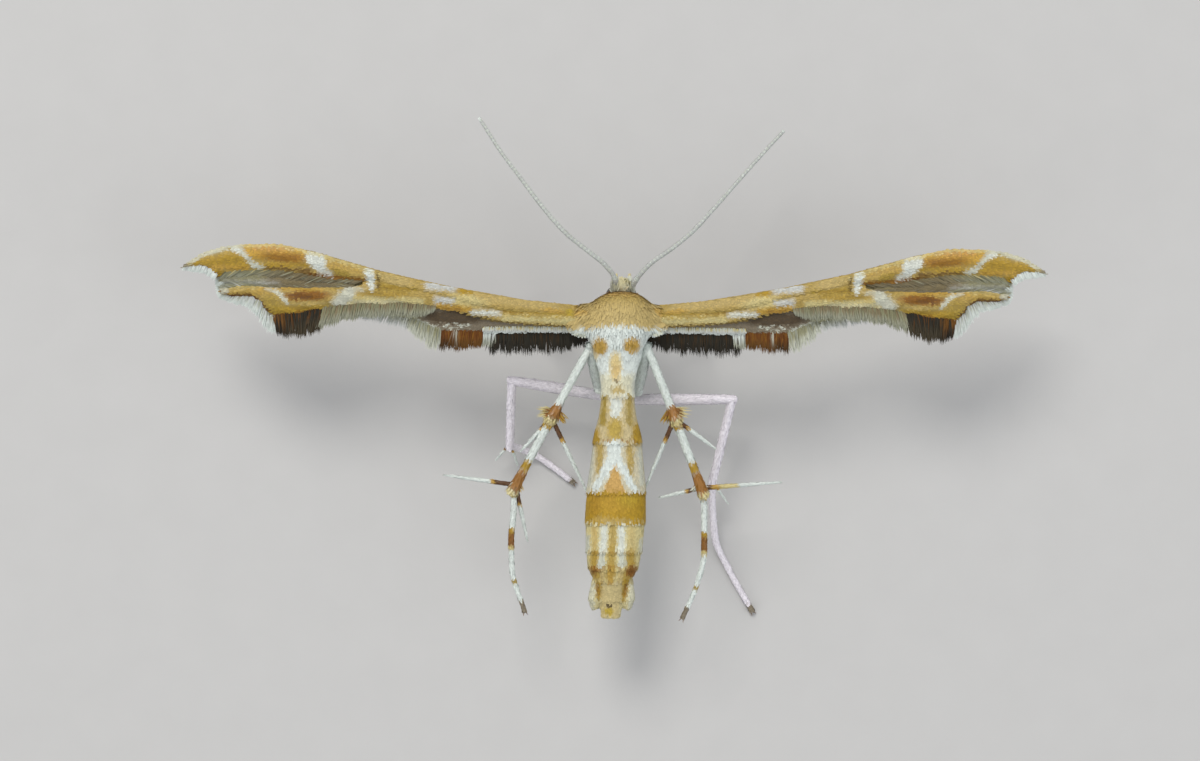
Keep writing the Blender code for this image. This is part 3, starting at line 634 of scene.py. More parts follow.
body = {
    "line": curve((-6.4, -0.075), (-5.3, -0.02), (-3.8, 0.05), (-1.9, 0.10), (0.7, 0.12), (2.4, 0.24)),
    "coat": 0.020,                      # how far the skin lies inside the outline
    "voxel": 0.0385,                    # how fine the trunk's skin is
    "soften": (0.6, 6),                 # how much, how many times
    "ringSwell": (-0.008, 0.022),       # at a ring's front edge, and what its rear edge adds
    # sections: how far forward, half width, height of the middle, half height
    "thorax": ((0.20, 0.50, 2.97, 0.44), (0.45, 0.60, 2.97, 0.50), (0.62, 0.68, 2.98, 0.58),
               (0.85, 0.80, 2.97, 0.70), (1.15, 0.93, 2.97, 0.77), (1.45, 0.89, 3.02, 0.71),
               (1.70, 0.76, 3.15, 0.54), (1.86, 0.56, 3.27, 0.36), (1.95, 0.38, 3.33, 0.23),
               (1.99, 0.18, 3.35, 0.11)),
    "abdomen": ((-6.34, 0.26, 2.42, 0.20), (-6.05, 0.30, 2.44, 0.26), (-5.75, 0.33, 2.47, 0.33),
                (-5.45, 0.43, 2.51, 0.43), (-5.10, 0.64, 2.56, 0.57), (-4.60, 0.73, 2.62, 0.65),
                (-3.50, 0.79, 2.71, 0.69), (-2.50, 0.71, 2.80, 0.65), (-1.70, 0.62, 2.86, 0.57),
                (-1.10, 0.49, 2.91, 0.47), (-0.50, 0.44, 2.94, 0.42), (0.0, 0.52, 2.95, 0.43),
                (0.25, 0.60, 2.95, 0.44), (0.60, 0.68, 2.95, 0.46)),
    "rings": (0.43, -0.65, -1.83, -3.10, -3.88, -4.62, -5.06, -5.40, -5.90, -6.34),
    "claspers": ((-6.14, 0.05, 2.46, 0.06), (-6.06, 0.12, 2.46, 0.19), (-5.80, 0.16, 2.48, 0.28),
                 (-5.42, 0.10, 2.52, 0.22), (-5.26, 0.04, 2.54, 0.10)),
    "clasperOffset": 0.44,
    "head": ((0.03, 1.96, 2.66), (0.36, 0.41, 0.44)),
    # shoulders, wing hinges, hips and feeler sockets: middle, how far to each side, radii, turn
    "pairs": (((0.14, 1.44, 3.22), 0.70, (0.42, 0.28, 0.17), -0.12),
              ((0.10, 1.27, 3.17), 0.78, (0.46, 0.34, 0.13), -0.04),
              ((0.13, 1.20, 2.62), 0.36, (0.30, 0.42, 0.34), 0.0),
              ((0.20, 2.14, 2.84), 0.17, (0.10, 0.11, 0.12), 0.0)),
    # neck, back and rump
    "humps": (((0.22, 1.78, 2.80), (0.22, 0.24, 0.26)), ((0.13, 1.05, 3.40), (0.50, 0.50, 0.28)),
              ((0.12, 0.72, 3.25), (0.34, 0.26, 0.26))),
}


def loft(rows, sides=40, steps=60, offset=0.0, inset=body["coat"]):
    # oval sections along the body, closed at both ends
    rows = np.array(rows)
    y = np.linspace(rows[0, 0], rows[-1, 0], steps)
    half, middle, tall = [curve(*rows[:, [0, column]])(y) for column in (1, 2, 3)]
    turn = np.linspace(0, 2 * math.pi, sides, endpoint=False)
    across = np.maximum(half - inset, 0.02)
    high = np.maximum(tall - inset, 0.02)
    x = (body["line"](y) + offset)[:, None] + across[:, None] * np.cos(turn)
    z = middle[:, None] + high[:, None] * np.sin(turn)
    points = np.stack((x, np.broadcast_to(y[:, None], x.shape), z), axis=-1).reshape(-1, 3)
    ends = np.stack((points[:sides].mean(axis=0), points[-sides:].mean(axis=0)))
    count = len(points)
    ring = [(j, (j + 1) % sides) for j in range(sides)]
    faces = [tuple(face) for face in gridFaces(steps, sides, closed=True)]
    faces += [(k, j, count) for j, k in ring]
    faces += [(count - sides + j, count - sides + k, count + 1) for j, k in ring]
    return np.concatenate((points, ends)), faces


def egg(centre, radii, turn=0.0, sides=24):
    v = np.linspace(0.02, math.pi - 0.02, sides // 2 + 1)
    u = np.linspace(0, 2 * math.pi, sides, endpoint=False)
    x = np.sin(v)[:, None] * np.cos(u) * radii[0]
    y = np.sin(v)[:, None] * np.sin(u) * radii[1]
    z = np.cos(v)[:, None] * np.ones(sides) * radii[2]
    c, s = math.cos(turn), math.sin(turn)
    points = np.stack((x * c - z * s, y, x * s + z * c), axis=-1).reshape(-1, 3) + np.array(centre)
    return points, tubeFaces(len(v), sides)


def pathThrough(points, spacing=0.04):  # evenly spaced places along a smooth curve
    points = np.array(points, float)
    lengths = farAlong(points)
    count = max(int(lengths[-1] / spacing), 4)
    at = np.linspace(0, lengths[-1], count + 1)
    return np.stack([curve(*zip(lengths, points[:, c]))(at) for c in range(3)], axis=-1)


def tubeRings(path, radii, sides):      # directions along, across and up, and rings, of a round limb
    along = unit(np.gradient(path, axis=0))
    across = np.empty_like(path)
    start = np.cross(along[0], (0.0, 0.0, 1.0))
    across[0] = unit(start if np.linalg.norm(start) > 0.1 else np.cross(along[0], (0.0, 1.0, 0.0)))
    for i in range(1, len(path)):
        across[i] = unit(across[i - 1] - along[i] * (across[i - 1] @ along[i]))
    other = np.cross(along, across)
    turn = np.linspace(0, 2 * math.pi, sides, endpoint=False)
    spokes = across[:, None] * np.cos(turn)[:, None] + other[:, None] * np.sin(turn)[:, None]
    return along, across, other, path[:, None] + spokes * radii[:, None, None]


def limb(path, radii, sides=14):        # closed tube with rounded ends
    rings = tubeRings(path, radii, sides)[-1]
    first, last = unit(path[0] - path[1]), unit(path[-1] - path[-2])

    def rounded(end, way, radius, ring, angles):
        return [end + way * radius * math.sin(angle) + (ring - end) * math.cos(angle) for angle in angles]
    rings = np.concatenate((rounded(path[0], first, radii[0], rings[0], (1.25, 0.7)), rings,
                            rounded(path[-1], last, radii[-1], rings[-1], (0.7, 1.25))))
    return rings.reshape(-1, 3), tubeFaces(len(rings), sides)


legs = {
    "foreMiddle": 0.17,
    "fore": (((0.32, 1.42, 2.45), (0.45, 1.46, 1.72), (1.35, 1.36, 1.92), (1.95, 1.42, 0.95)),
             ((2.28, 1.52, 0.45), (2.56, 1.60, 0.10), (3.00, 1.66, 0.07))),
    "midLeft": (((-0.18, 1.10, 2.12), (-0.16, -0.68, 1.48), (-2.61, -0.27, 1.92), (-2.68, -1.95, 0.85)),
                ((-2.32, -2.08, 0.42), (-1.94, -2.27, 0.12), (-1.42, -2.64, 0.08), (-1.08, -2.90, 0.07))),
    "midRight": (((0.44, 1.10, 2.12), (0.42, -0.76, 1.48), (3.06, -0.75, 1.92), (2.56, -2.94, 0.92)),
                 ((2.58, -3.50, 0.60), (2.66, -4.37, 0.28), (3.02, -5.20, 0.09), (3.60, -6.24, 0.07))),
    "hindLeft": (((-0.16, 0.55, 2.42), (-0.36, -0.46, 2.16), (-0.60, 0.58, 2.92), (-2.56, -3.06, 2.50)),
                 ((-2.55, -3.45, 2.44), (-2.62, -4.37, 2.32), (-2.60, -5.10, 2.20), (-2.30, -6.15, 2.05))),
    "hindRight": (((0.42, 0.55, 2.42), (0.62, -0.52, 2.16), (0.86, 0.58, 2.92), (2.29, -3.13, 2.50)),
                  ((2.33, -3.60, 2.43), (2.33, -4.65, 2.28), (2.14, -5.52, 2.16), (1.80, -6.32, 2.05))),
    "knee": {"hindLeft": (-1.54, -1.14, 2.74), "hindRight": (1.54, -1.14, 2.73)},   # where the shins bend
    "spurs": {
        "hindLeft": (((-1.58, -1.22, 2.74), (-0.74, -3.00, 2.42)),
                     ((-1.58, -1.22, 2.74), (-2.32, -2.02, 2.62)),
                     ((-2.50, -2.94, 2.50), (-4.28, -2.70, 2.28)),
                     ((-2.50, -2.98, 2.48), (-2.22, -4.34, 2.02))),
        "hindRight": (((1.56, -1.24, 2.73), (0.86, -2.92, 2.42)),
                      ((1.56, -1.24, 2.73), (2.56, -1.97, 2.62)),
                      ((2.25, -3.02, 2.50), (4.24, -2.88, 2.28)),
                      ((2.25, -3.02, 2.48), (1.24, -3.26, 2.16))),
        "midLeft": (((-2.68, -1.90, 0.88), (-3.02, -2.30, 0.55)),
                    ((-2.68, -1.90, 0.88), (-2.50, -2.42, 0.50))),
        "midRight": (((2.57, -2.88, 0.95), (2.95, -3.42, 0.62)),
                     ((2.57, -2.88, 0.95), (2.30, -3.40, 0.62))),
    },
    "coat": 0.012,                      # how far the skin lies inside the outline
    "scale": {"coxa": 0.10, "femur": 0.11, "tibia": 0.12, "tarsus": 0.09, "spur": 0.09},     # lengths
    "coxa": (0.17, 0.14),               # radii, from here down
    "hindRadii": {"femur": 0.115, "tibia": 0.104, "tarsus": 0.084, "spur": 0.062},
    "radii": {"femur": 0.108, "tibia": 0.116, "tarsus": 0.096, "spur": 0.038},
    "footJoints": (0.0, 0.46, 0.66, 0.80, 0.91, 1.0),
    "claw": {"ahead": 0.13, "spread": 0.045, "drop": 0.05, "radius": 0.016, "tip": 0.004},
}

feelers = {
    "left": ((0.08, 2.12, 2.84), (0.02, 2.36, 3.04), (-0.22, 2.68, 3.18), (-0.59, 2.98, 3.24),
             (-1.21, 3.48, 3.24), (-1.76, 4.09, 3.16), (-2.32, 4.83, 3.00), (-2.87, 5.57, 2.80),
             (-3.40, 6.40, 2.58)),
    "right": ((0.46, 2.12, 2.84), (0.62, 2.36, 3.04), (0.95, 2.71, 3.18), (1.51, 3.11, 3.24),
              (2.00, 3.51, 3.24), (2.43, 3.97, 3.18), (2.98, 4.59, 3.04), (3.66, 5.36, 2.84),
              (4.32, 6.08, 2.64)),
    "radius": 0.060, "tip": 0.040, "scape": 0.074, "segment": 0.105, "beads": 46,
}
palps = ((0.15, 2.10, 2.46), (0.18, 2.30, 2.30), (0.17, 2.42, 2.06))

limbBands = {                           # from one share of the length to another, and the colour between them
    "coxa": ((0.0, 1.01, "white"),),
    "mid": ((0.0, 1.01, "lilac"),),
    "midFoot": ((0.0, 0.95, "lilac"), (0.95, 1.01, "mauve")),
    "hindShin": ((0.0, 0.39, "white"), (0.39, 0.47, "russet"), (0.47, 0.515, "cream"),
                 (0.515, 0.545, "amber"), (0.545, 0.78, "white"), (0.78, 0.85, "amber"),
                 (0.85, 0.98, "russet"), (0.98, 1.01, "cream")),
    "hindFoot": ((0.0, 0.04, "amber"), (0.04, 0.30, "white"), (0.30, 0.335, "amber"), (0.335, 0.445, "rust"),
                 (0.445, 0.475, "cream"), (0.475, 0.725, "white"), (0.725, 0.755, "honey"),
                 (0.755, 0.91, "white"), (0.91, 1.01, "mauve")),
    "spur": ((0.0, 0.27, "chestnut"), (0.27, 0.33, "ochre"), (0.33, 1.01, "white")),
    "paleSpur": ((0.0, 0.10, "chestnut"), (0.10, 0.20, "ochre"), (0.20, 0.45, "cream"),
                 (0.45, 1.01, "white")),
    "feeler": ((0.0, 1.01, "pearl"),),
    "palp": ((0.0, 1.01, "milk"),),
    "palpCoat": ((0.0, 0.6, "milk"), (0.6, 1.01, "cream")),
}


def bandPaint(share, bands):
    edge = 0.012
    return layAll(flat(bands[0][2], len(share)), (
        (window(share, (start - edge, start + edge), (end - edge, end + edge)), name, 1.0)
        for start, end, name in bands))


def mirrored(points, side, middle):
    return tuple((middle + side * x, y, z) for x, y, z in points)


def legParts():                         # every stretch of every leg: name, path, radii, bands, scale length
    parts = []
    for name in ("foreLeft", "foreRight", "midLeft", "midRight", "hindLeft", "hindRight"):
        if name.startswith("fore"):
            side = -1 if name.endswith("Left") else 1
            joints, foot = (mirrored(rows, side, legs["foreMiddle"]) for rows in legs["fore"])
        else:
            joints, foot = legs[name]
        hind = name.startswith("hind")
        size, long = legs["hindRadii" if hind else "radii"], legs["scale"]
        coxa = pathThrough(joints[0:2])
        thick = np.linspace(*legs["coxa"], len(coxa))
        parts.append((name + "Coxa", coxa, thick, limbBands["coxa"], long["coxa"]))
        femur = pathThrough(joints[1:3])
        swell = size["femur"] + 0.04 * np.sin(np.linspace(0.15, 1, len(femur)) * math.pi) ** 0.8
        parts.append((name + "Femur", femur, swell, limbBands["coxa" if hind else "mid"], long["femur"]))
        knee = legs["knee"].get(name)
        tibia = pathThrough((joints[2], knee, joints[3]) if knee else joints[2:4])
        share = np.linspace(0, 1, len(tibia))
        radius = size["tibia"] - 0.010 * share
        if hind:                        # knobs where the spurs leave
            knobs = 0.05 * np.exp(-((share - 0.47) / 0.06) ** 2) + 0.035 * step(0.80, 0.95, share)
            radius = size["tibia"] + knobs
        parts.append((name + "Tibia", tibia, radius, limbBands["hindShin" if hind else "mid"], long["tibia"]))
        tarsus = pathThrough((joints[3],) + tuple(foot))
        share = np.linspace(0, 1, len(tarsus))
        ends = np.array(legs["footJoints"])
        joint = np.clip(np.searchsorted(ends, share, side="right") - 1, 0, len(ends) - 2)
        within = (share - ends[joint]) / (ends[joint + 1] - ends[joint])
        slim = size["tarsus"] - 0.024 * share + 0.012 * within ** 3
        bands = limbBands["hindFoot" if hind else "midFoot"]
        parts.append((name + "Tarsus", tarsus, slim, bands, long["tarsus"]))
        for i, places in enumerate(legs["spurs"].get(name, ())):
            spur = pathThrough(places)
            thin = size["spur"] * (1 - 0.72 * np.linspace(0, 1, len(spur)) ** 3)
            bands = limbBands["paleSpur" if (name, i) == ("hindRight", 2) else "spur"]
            parts.append((name + "Spur" + str(i), spur, thin, bands, long["spur"]))
    return parts


def trunkMesh():                        # thorax, abdomen, head, hips and tail lobes grown together
    shapes = [loft(body["thorax"]), loft(body["abdomen"], steps=120)]
    for side in (-1, 1):
        shapes.append(loft(body["claspers"], 20, 20, offset=side * body["clasperOffset"], inset=0.01))
        for (x, y, z), away, radii, turn in body["pairs"]:
            shapes.append(egg((x + side * away, y, z), radii, turn=side * turn))
    (away, y, z), radii = body["head"]
    shapes.append(egg((body["line"](y) + away, y, z), [r - 0.05 for r in radii]))
    shapes += [egg(centre, radii) for centre, radii in body["humps"]]
    shapes += [limb(path[:-3], radii[:-3]) for name, path, radii, *_ in legParts() if name.endswith("Coxa")]
    points, faces = merged(shapes)
    mesh = bpy.data.meshes.new("trunk")
    mesh.from_pydata(points.tolist(), [], faces)
    trunk = bpy.data.objects.new("trunk", mesh)
    bpy.context.scene.collection.objects.link(trunk)
    remesh = trunk.modifiers.new("grown together", "REMESH")
    remesh.mode = "VOXEL"
    remesh.voxel_size = body["voxel"]
    smooth = trunk.modifiers.new("softened", "SMOOTH")
    smooth.factor, smooth.iterations = body["soften"]
    made = bpy.data.meshes.new_from_object(trunk.evaluated_get(bpy.context.evaluated_depsgraph_get()))
    bpy.data.objects.remove(trunk)
    return made


def abdomenRings(points):               # each ring of the abdomen swells towards its rear edge
    y = points[:, 1]
    edges = np.array(body["rings"])[::-1]
    at = np.clip(np.searchsorted(edges, y) - 1, 0, len(edges) - 2)
    share = np.clip((edges[at + 1] - y) / (edges[at + 1] - edges[at]), 0, 1)
    centre = np.stack((body["line"](y), y, curve(*np.array(body["abdomen"])[:, [0, 2]])(y)), axis=-1)
    ofAbdomen = (y < 0.3) & (y > -6.3) & (np.linalg.norm(points - centre, axis=1) < 0.85)
    low, swell = body["ringSwell"]
    grow = np.where(ofAbdomen, low + swell * share ** 2, 0)
    return points + unit(points - centre) * grow[:, None]


bodyMarks = [                           # sideways from the middle line, along the body
    ("oval", "ochre", 0.95, (-0.47, 0.62), (0.20, 0.24)),
    ("oval", "amber", 0.3, (-0.46, 0.58), (0.13, 0.15), 0.0, 0.6),
    ("oval", "straw", 0.6, (-0.60, 0.38), (0.10, 0.14), 0.0, 0.6),
    ("oval", "ochre", 0.95, (0.35, 0.66), (0.21, 0.20)),
    ("oval", "amber", 0.4, (0.38, 0.66), (0.10, 0.10), 0.0, 0.6),
    ("bar", "rust", 0.5, (0.40, 0.86), (0.62, 0.82), (0.015, 0.015), 0.02),
    ("patch", "cream", 0.5, ((-0.45, -0.66), (0.40, -0.66), (0.40, -0.10), (-0.45, -0.10)), 0.12),
    ("oval", "wheat", 0.95, (-0.06, 0.12), (0.15, 0.36), 0.0, 0.45),
    ("oval", "toffee", 0.35, (-0.05, -0.02), (0.11, 0.17), 0.0, 0.6),
    ("oval", "olive", 0.8, (-0.03, -0.26), (0.08, 0.05)),
    ("oval", "gold", 0.8, (0.0, -0.50), (0.18, 0.11), 0.0, 0.5),
    ("patch", "straw", 0.85, ((-0.80, -1.84), (0.80, -1.84), (0.80, -0.66), (-0.80, -0.66)), 0.03),
    ("bar", "honey", 0.9, (-0.33, -0.70), (-0.37, -1.35), (0.06, 0.08), 0.05),
    ("bar", "honey", 0.75, (0.28, -0.70), (0.31, -1.35), (0.06, 0.08), 0.05),
    ("patch", "white", 0.85, ((-0.15, -1.22), (0.06, -1.22), (0.13, -0.68), (-0.21, -0.68)), 0.05),
    ("bar", "milk", 0.8, (-0.52, -0.85), (-0.60, -1.40), (0.06, 0.05), 0.05),
    ("bar", "milk", 0.8, (0.48, -0.85), (0.56, -1.35), (0.06, 0.05), 0.05),
    ("oval", "gold", 0.9, (-0.07, -1.50), (0.20, 0.29), 0.0, 0.4),
    ("oval", "yolk", 0.45, (-0.07, -1.50), (0.17, 0.24), 0.0, 0.5),
    ("oval", "amber", 0.95, (-0.57, -1.72), (0.13, 0.25), 0.0, 0.4),
    ("oval", "amber", 0.95, (0.50, -1.66), (0.13, 0.32), 0.0, 0.4),
    ("bar", "milk", 0.7, (-0.50, -1.83), (0.48, -1.83), (0.018, 0.018), 0.015),
    ("bar", "rust", 0.6, (-0.45, -1.79), (0.45, -1.79), (0.012, 0.012), 0.012),
    ("patch", "straw", 0.6, ((-0.95, -3.08), (0.95, -3.08), (0.95, -1.87), (-0.95, -1.87)), 0.02),
    ("bar", "gold", 0.95, (-0.43, -1.92), (-0.45, -2.65), (0.10, 0.07), 0.06),
    ("bar", "gold", 0.95, (0.31, -1.92), (0.34, -2.72), (0.10, 0.07), 0.06),
    ("bar", "milk", 0.8, (-0.64, -2.0), (-0.70, -2.9), (0.05, 0.07), 0.05),
    ("bar", "milk", 0.8, (0.56, -2.0), (0.64, -2.9), (0.05, 0.06), 0.05),
    ("bar", "white", 1.0, (-0.07, -1.94), (-0.07, -2.35), (0.18, 0.15), 0.04),
    ("bar", "white", 1.0, (-0.14, -2.25), (-0.54, -3.02), (0.12, 0.10), 0.04),
    ("bar", "white", 1.0, (0.02, -2.25), (0.45, -3.02), (0.10, 0.09), 0.04),
    ("patch", "toffee", 1.0, ((-0.33, -3.14), (0.25, -3.14), (-0.03, -2.42), (-0.10, -2.42)), 0.03),
    ("patch", "amber", 1.0, ((-0.95, -3.89), (0.95, -3.89), (0.95, -3.10), (-0.95, -3.10)), 0.03),
    ("oval", "ochre", 0.5, (-0.10, -3.38), (0.45, 0.28), 0.0, 0.7),
    ("oval", "rust", 0.25, (-0.55, -3.45), (0.14, 0.30), 0.0, 0.6),
    ("oval", "yolk", 0.5, (0.30, -3.30), (0.25, 0.14), 0.0, 0.7),
    ("bar", "straw", 0.6, (-0.70, -3.82), (0.70, -3.82), (0.020, 0.020), 0.02),
    ("bar", "straw", 0.4, (-0.45, -3.78), (0.25, -3.80), (0.07, 0.05), 0.07),
    ("patch", "cream", 0.95, ((-0.95, -5.42), (0.95, -5.42), (0.95, -3.90), (-0.95, -3.90)), 0.03),
    ("bar", "gold", 0.9, (-0.06, -3.95), (-0.06, -5.35), (0.085, 0.11), 0.05),
    ("bar", "amber", 0.35, (-0.06, -4.50), (-0.06, -5.30), (0.07, 0.08), 0.05),
    ("bar", "ochre", 0.3, (0.42, -4.0), (0.44, -4.55), (0.09, 0.08), 0.07),
    ("bar", "ochre", 0.5, (-0.52, -4.0), (-0.50, -4.5), (0.07, 0.06), 0.06),
    ("bar", "amber", 0.85, (-0.47, -4.68), (-0.50, -5.0), (0.11, 0.09), 0.06),
    ("bar", "amber", 0.85, (0.42, -4.68), (0.45, -4.95), (0.11, 0.10), 0.06),
    ("oval", "amber", 0.8, (-0.40, -5.22), (0.17, 0.17), 0.0, 0.6),
    ("oval", "amber", 0.8, (0.38, -5.24), (0.18, 0.17), 0.0, 0.6),
    ("bar", "ochre", 0.5, (-0.05, -5.05), (-0.05, -5.35), (0.10, 0.08), 0.06),
    ("bar", "milk", 0.9, (-0.70, -4.25), (-0.69, -4.58), (0.07, 0.08), 0.04),
    ("bar", "milk", 0.8, (0.68, -4.3), (0.68, -4.58), (0.05, 0.06), 0.04),
    ("bar", "white", 0.8, (-0.28, -4.00), (-0.28, -4.54), (0.085, 0.095), 0.05),
    ("bar", "white", 0.8, (0.17, -4.00), (0.18, -4.54), (0.090, 0.100), 0.05),
    ("bar", "milk", 0.95, (-0.30, -4.70), (-0.32, -4.94), (0.08, 0.09), 0.04),
    ("bar", "milk", 0.95, (0.19, -4.70), (0.21, -4.94), (0.09, 0.10), 0.04),
    ("bar", "straw", 0.8, (-0.27, -5.10), (-0.27, -5.34), (0.06, 0.06), 0.04),
    ("bar", "straw", 0.8, (0.18, -5.10), (0.18, -5.34), (0.06, 0.06), 0.04),
    ("oval", "rust", 0.9, (-0.46, -5.10), (0.13, 0.11), 0.3, 0.5),
    ("oval", "rust", 1.0, (0.48, -5.12), (0.15, 0.14), -0.4, 0.5),
    ("bar", "rust", 0.35, (-0.60, -4.62), (0.60, -4.62), (0.014, 0.014), 0.014),
    ("bar", "rust", 0.55, (-0.60, -5.03), (0.60, -5.03), (0.016, 0.016), 0.018),
    ("bar", "rust", 0.5, (-0.40, -5.40), (0.40, -5.40), (0.016, 0.016), 0.018),
    ("patch", "straw", 0.65, ((-0.26, -6.35), (0.20, -6.35), (0.24, -5.42), (-0.30, -5.42)), 0.03),
    ("bar", "amber", 0.9, (-0.35, -5.46), (-0.33, -5.86), (0.075, 0.05)),
    ("bar", "amber", 0.9, (0.33, -5.42), (0.31, -5.88), (0.085, 0.055)),
    ("bar", "rust", 0.7, (0.36, -5.50), (0.35, -5.78), (0.05, 0.04)),
    ("bar", "rust", 0.6, (-0.38, -5.50), (-0.37, -5.75), (0.05, 0.04)),
    ("oval", "yolk", 0.9, (-0.05, -6.20), (0.13, 0.09)),
    ("oval", "umber", 0.9, (-0.05, -6.07), (0.06, 0.04)),
]


def bodyColours(points, normals):       # the body's pattern, fading to milk white underneath
    y, z = points[:, 1], points[:, 2]
    a = points[:, 0] - body["line"](y)
    p = np.stack((a, y), axis=-1)
    paint = layAll(flat("white", len(points)), (
        (1 - step(-5.45, -5.38, y), "cream", 0.85),
        ((1 - step(-5.5, -5.4, y)) * step(0.40, 0.46, np.abs(a)), "milk", 0.6),
    ))
    onBack = np.maximum(step(2.50, 2.68, z), 1 - step(-0.6, -0.2, y))[:, None]
    paint = paint * (1 - onBack) + strokes(paint, p, bodyMarks) * onBack
    backOfGold = 1.17 - 0.09 * step(0.25, 0.85, np.abs(a))
    gold = step(backOfGold - 0.07, backOfGold + 0.07, y) * step(2.55, 2.85, z)
    head = step(1.86, 1.96, y) * (1 - step(3.0, 3.1, z))
    under = (1 - step(-0.35, 0.15, normals[:, 2])) * (1 - step(2.70, 2.90, z) * step(0.9, 1.2, y))
    stripe = np.exp(-((normals[:, 2] + 0.55) / 0.12) ** 2) * (y < 0.3) * (y > -5.2)
    return layAll(paint, (
        (gold, "gold", 1.0),
        (gold * (1 - step(1.5, 1.95, y)), "straw", 0.75),
        # toffee at the thorax's front edge: its warmer hue, and lighter than gold as painted light against
        # the shade of the steep scales
        (gold * step(1.80, 1.97, y), "toffee", 0.6),
        (gold * oval(p, (-0.03, 1.28), (0.36, 0.16), 0.0, 0.8), "straw", 0.8),
        (gold * oval(p, (-0.98, 1.50), (0.20, 0.07)) + oval(p, (1.02, 1.50), (0.16, 0.07)), "ochre", 0.6),
        (head, "milk", 1.0),
        (head * step(2.75, 2.95, z), "moss", 0.35),
        (head * oval(p, (0.03, 2.30), (0.22, 0.25), 0, 0.6), "cream", 0.6),
        (under * (1 - head), "milk", 0.9),
        (stripe, "rust", 0.25),
    ))


def palpPath(side):
    return pathThrough([(body["line"](y) + side * x, y, z) for x, y, z in palps])


def palpRadii(path):                    # stoutest at a third of the length, pointed at the tip
    share = np.linspace(0, 1, len(path))
    return 0.045 + 0.025 * np.sin(np.clip(share * 1.5, 0, 1) * math.pi) - 0.025 * step(0.65, 1.0, share)


def feelerPath(word):
    return pathThrough(feelers[word], 0.035)


def feelerRadii(path):                  # a stout first joint, then short beads that thin towards the tip
    far = farAlong(path)
    base = feelers["radius"] + (feelers["tip"] - feelers["radius"]) * far / far[-1]
    beads = 0.006 * np.cos(far / feelers["segment"] * 2 * math.pi)
    scape = (feelers["scape"] - feelers["radius"]) * (1 - step(0.26, 0.34, far))
    return base + beads * step(0.3, 0.5, far) + scape


def limbSkin(path, radii, bands):       # its points, faces of four corners and colours
    tube, faces = limb(path, radii)
    rings = len(path) + 4
    share = np.repeat(np.clip((np.arange(rings) - 2) / (len(path) - 1), 0, 1), len(tube) // rings)
    fans = [(cap[0], *cap[i:i + 3]) for cap in faces[-2:] for i in range(1, len(cap) - 2, 2)]
    return tube, faces[:-2] + fans, bandPaint(share, bands)


def skinPiece():                        # one skin for the body, limbs, feelers and wings
    trunk = trunkMesh()
    points, normals = np.empty((2, len(trunk.vertices) * 3), np.float32)
    trunk.vertices.foreach_get("co", points)
    points = abdomenRings(points.reshape(-1, 3).astype(float))
    trunk.vertices.foreach_set("co", points.astype(np.float32).ravel())
    trunk.vertices.foreach_get("normal", normals)
    normals = normals.reshape(-1, 3).astype(float)
    quads = np.array([list(face.vertices) for face in trunk.polygons if len(face.vertices) == 4])
    bpy.data.meshes.remove(trunk)
    parts = [(points, quads, bodyColours(points, normals))]
    parts += [limbSkin(path, radii - legs["coat"], bands) for _, path, radii, bands, _ in legParts()]
    for word in ("left", "right"):
        path = feelerPath(word)
        parts.append(limbSkin(path, feelerRadii(path), limbBands["feeler"]))
    for side in (-1, 1):
        path = palpPath(side)
        parts.append(limbSkin(path, palpRadii(path), limbBands["palp"]))
        parts.append(wingSheet(side, foreStrips, foreRelief, foreColours))
        parts.append(wingSheet(side, hindStrips, hindRelief, hindColours))
    starts = np.cumsum([0] + [len(part[0]) for part in parts])
    faces = [np.asarray(part[1]) + start for part, start in zip(parts, starts)]
    made = meshFrom("skin", np.concatenate([part[0] for part in parts]), np.concatenate(faces))
    colourPoints(made, np.concatenate([part[2] for part in parts]) * model["skinShade"])
    return made, points, normals, quads


skin, trunkPoints, trunkNormals, trunkQuads = skinPiece()
print("skin made,", len(skin.data.polygons), "faces")

bodyCoat = {
    "abdomen": {"length": 0.13, "width": 0.060, "spacing": 0.040, "lift": 0.12},
    "thorax": {"length": 0.20, "width": 0.046, "spacing": 0.036, "lift": 0.14},
    "head": {"length": 0.13, "width": 0.040, "spacing": 0.030, "lift": 0.25},
    "wander": 0.09, "blur": 0.016,
    "tries": 3.0, "apart": 0.8,         # places tried for each one's room, and how near two may stand
    "tail": 0.4, "under": 0.45,         # how much shorter on the tail and under the thorax
    "edges": (1.2, 0.7),                # lift over the rings' edges, and between them
    "neck": (0.7, 0.45),                # how much flatter and shorter
    "crown": (1.4, 0.65),               # how much longer, and the lift
}


def spreadOver(points, normals, quads, spacing, wanted, seed):    # even but random places on a surface
    rng = np.random.default_rng(seed)
    corners = points[quads]
    size = np.linalg.norm(np.cross(corners[:, 2] - corners[:, 0], corners[:, 3] - corners[:, 1]), axis=1) / 2
    size = size * wanted(corners.mean(axis=1))
    count = int(size.sum() / spacing ** 2 * bodyCoat["tries"])
    pick = rng.choice(len(quads), count, p=size / size.sum())
    u, v = rng.uniform(0, 1, (2, count, 1))
    weights = np.concatenate(((1 - u) * (1 - v), u * (1 - v), u * v, (1 - u) * v), axis=1)[:, :, None]
    places = (corners[pick] * weights).sum(axis=1)
    upward = unit((normals[quads][pick] * weights).sum(axis=1))
    tree = KDTree(count)
    for i, place in enumerate(places):
        tree.insert(place, i)
    tree.balance()
    free = np.ones(count, bool)
    kept = []
    for i in range(count):
        if free[i]:
            kept.append(i)
            for _, j, _ in tree.find_range(places[i], spacing * bodyCoat["apart"]):
                free[j] = False
    return places[kept], upward[kept]


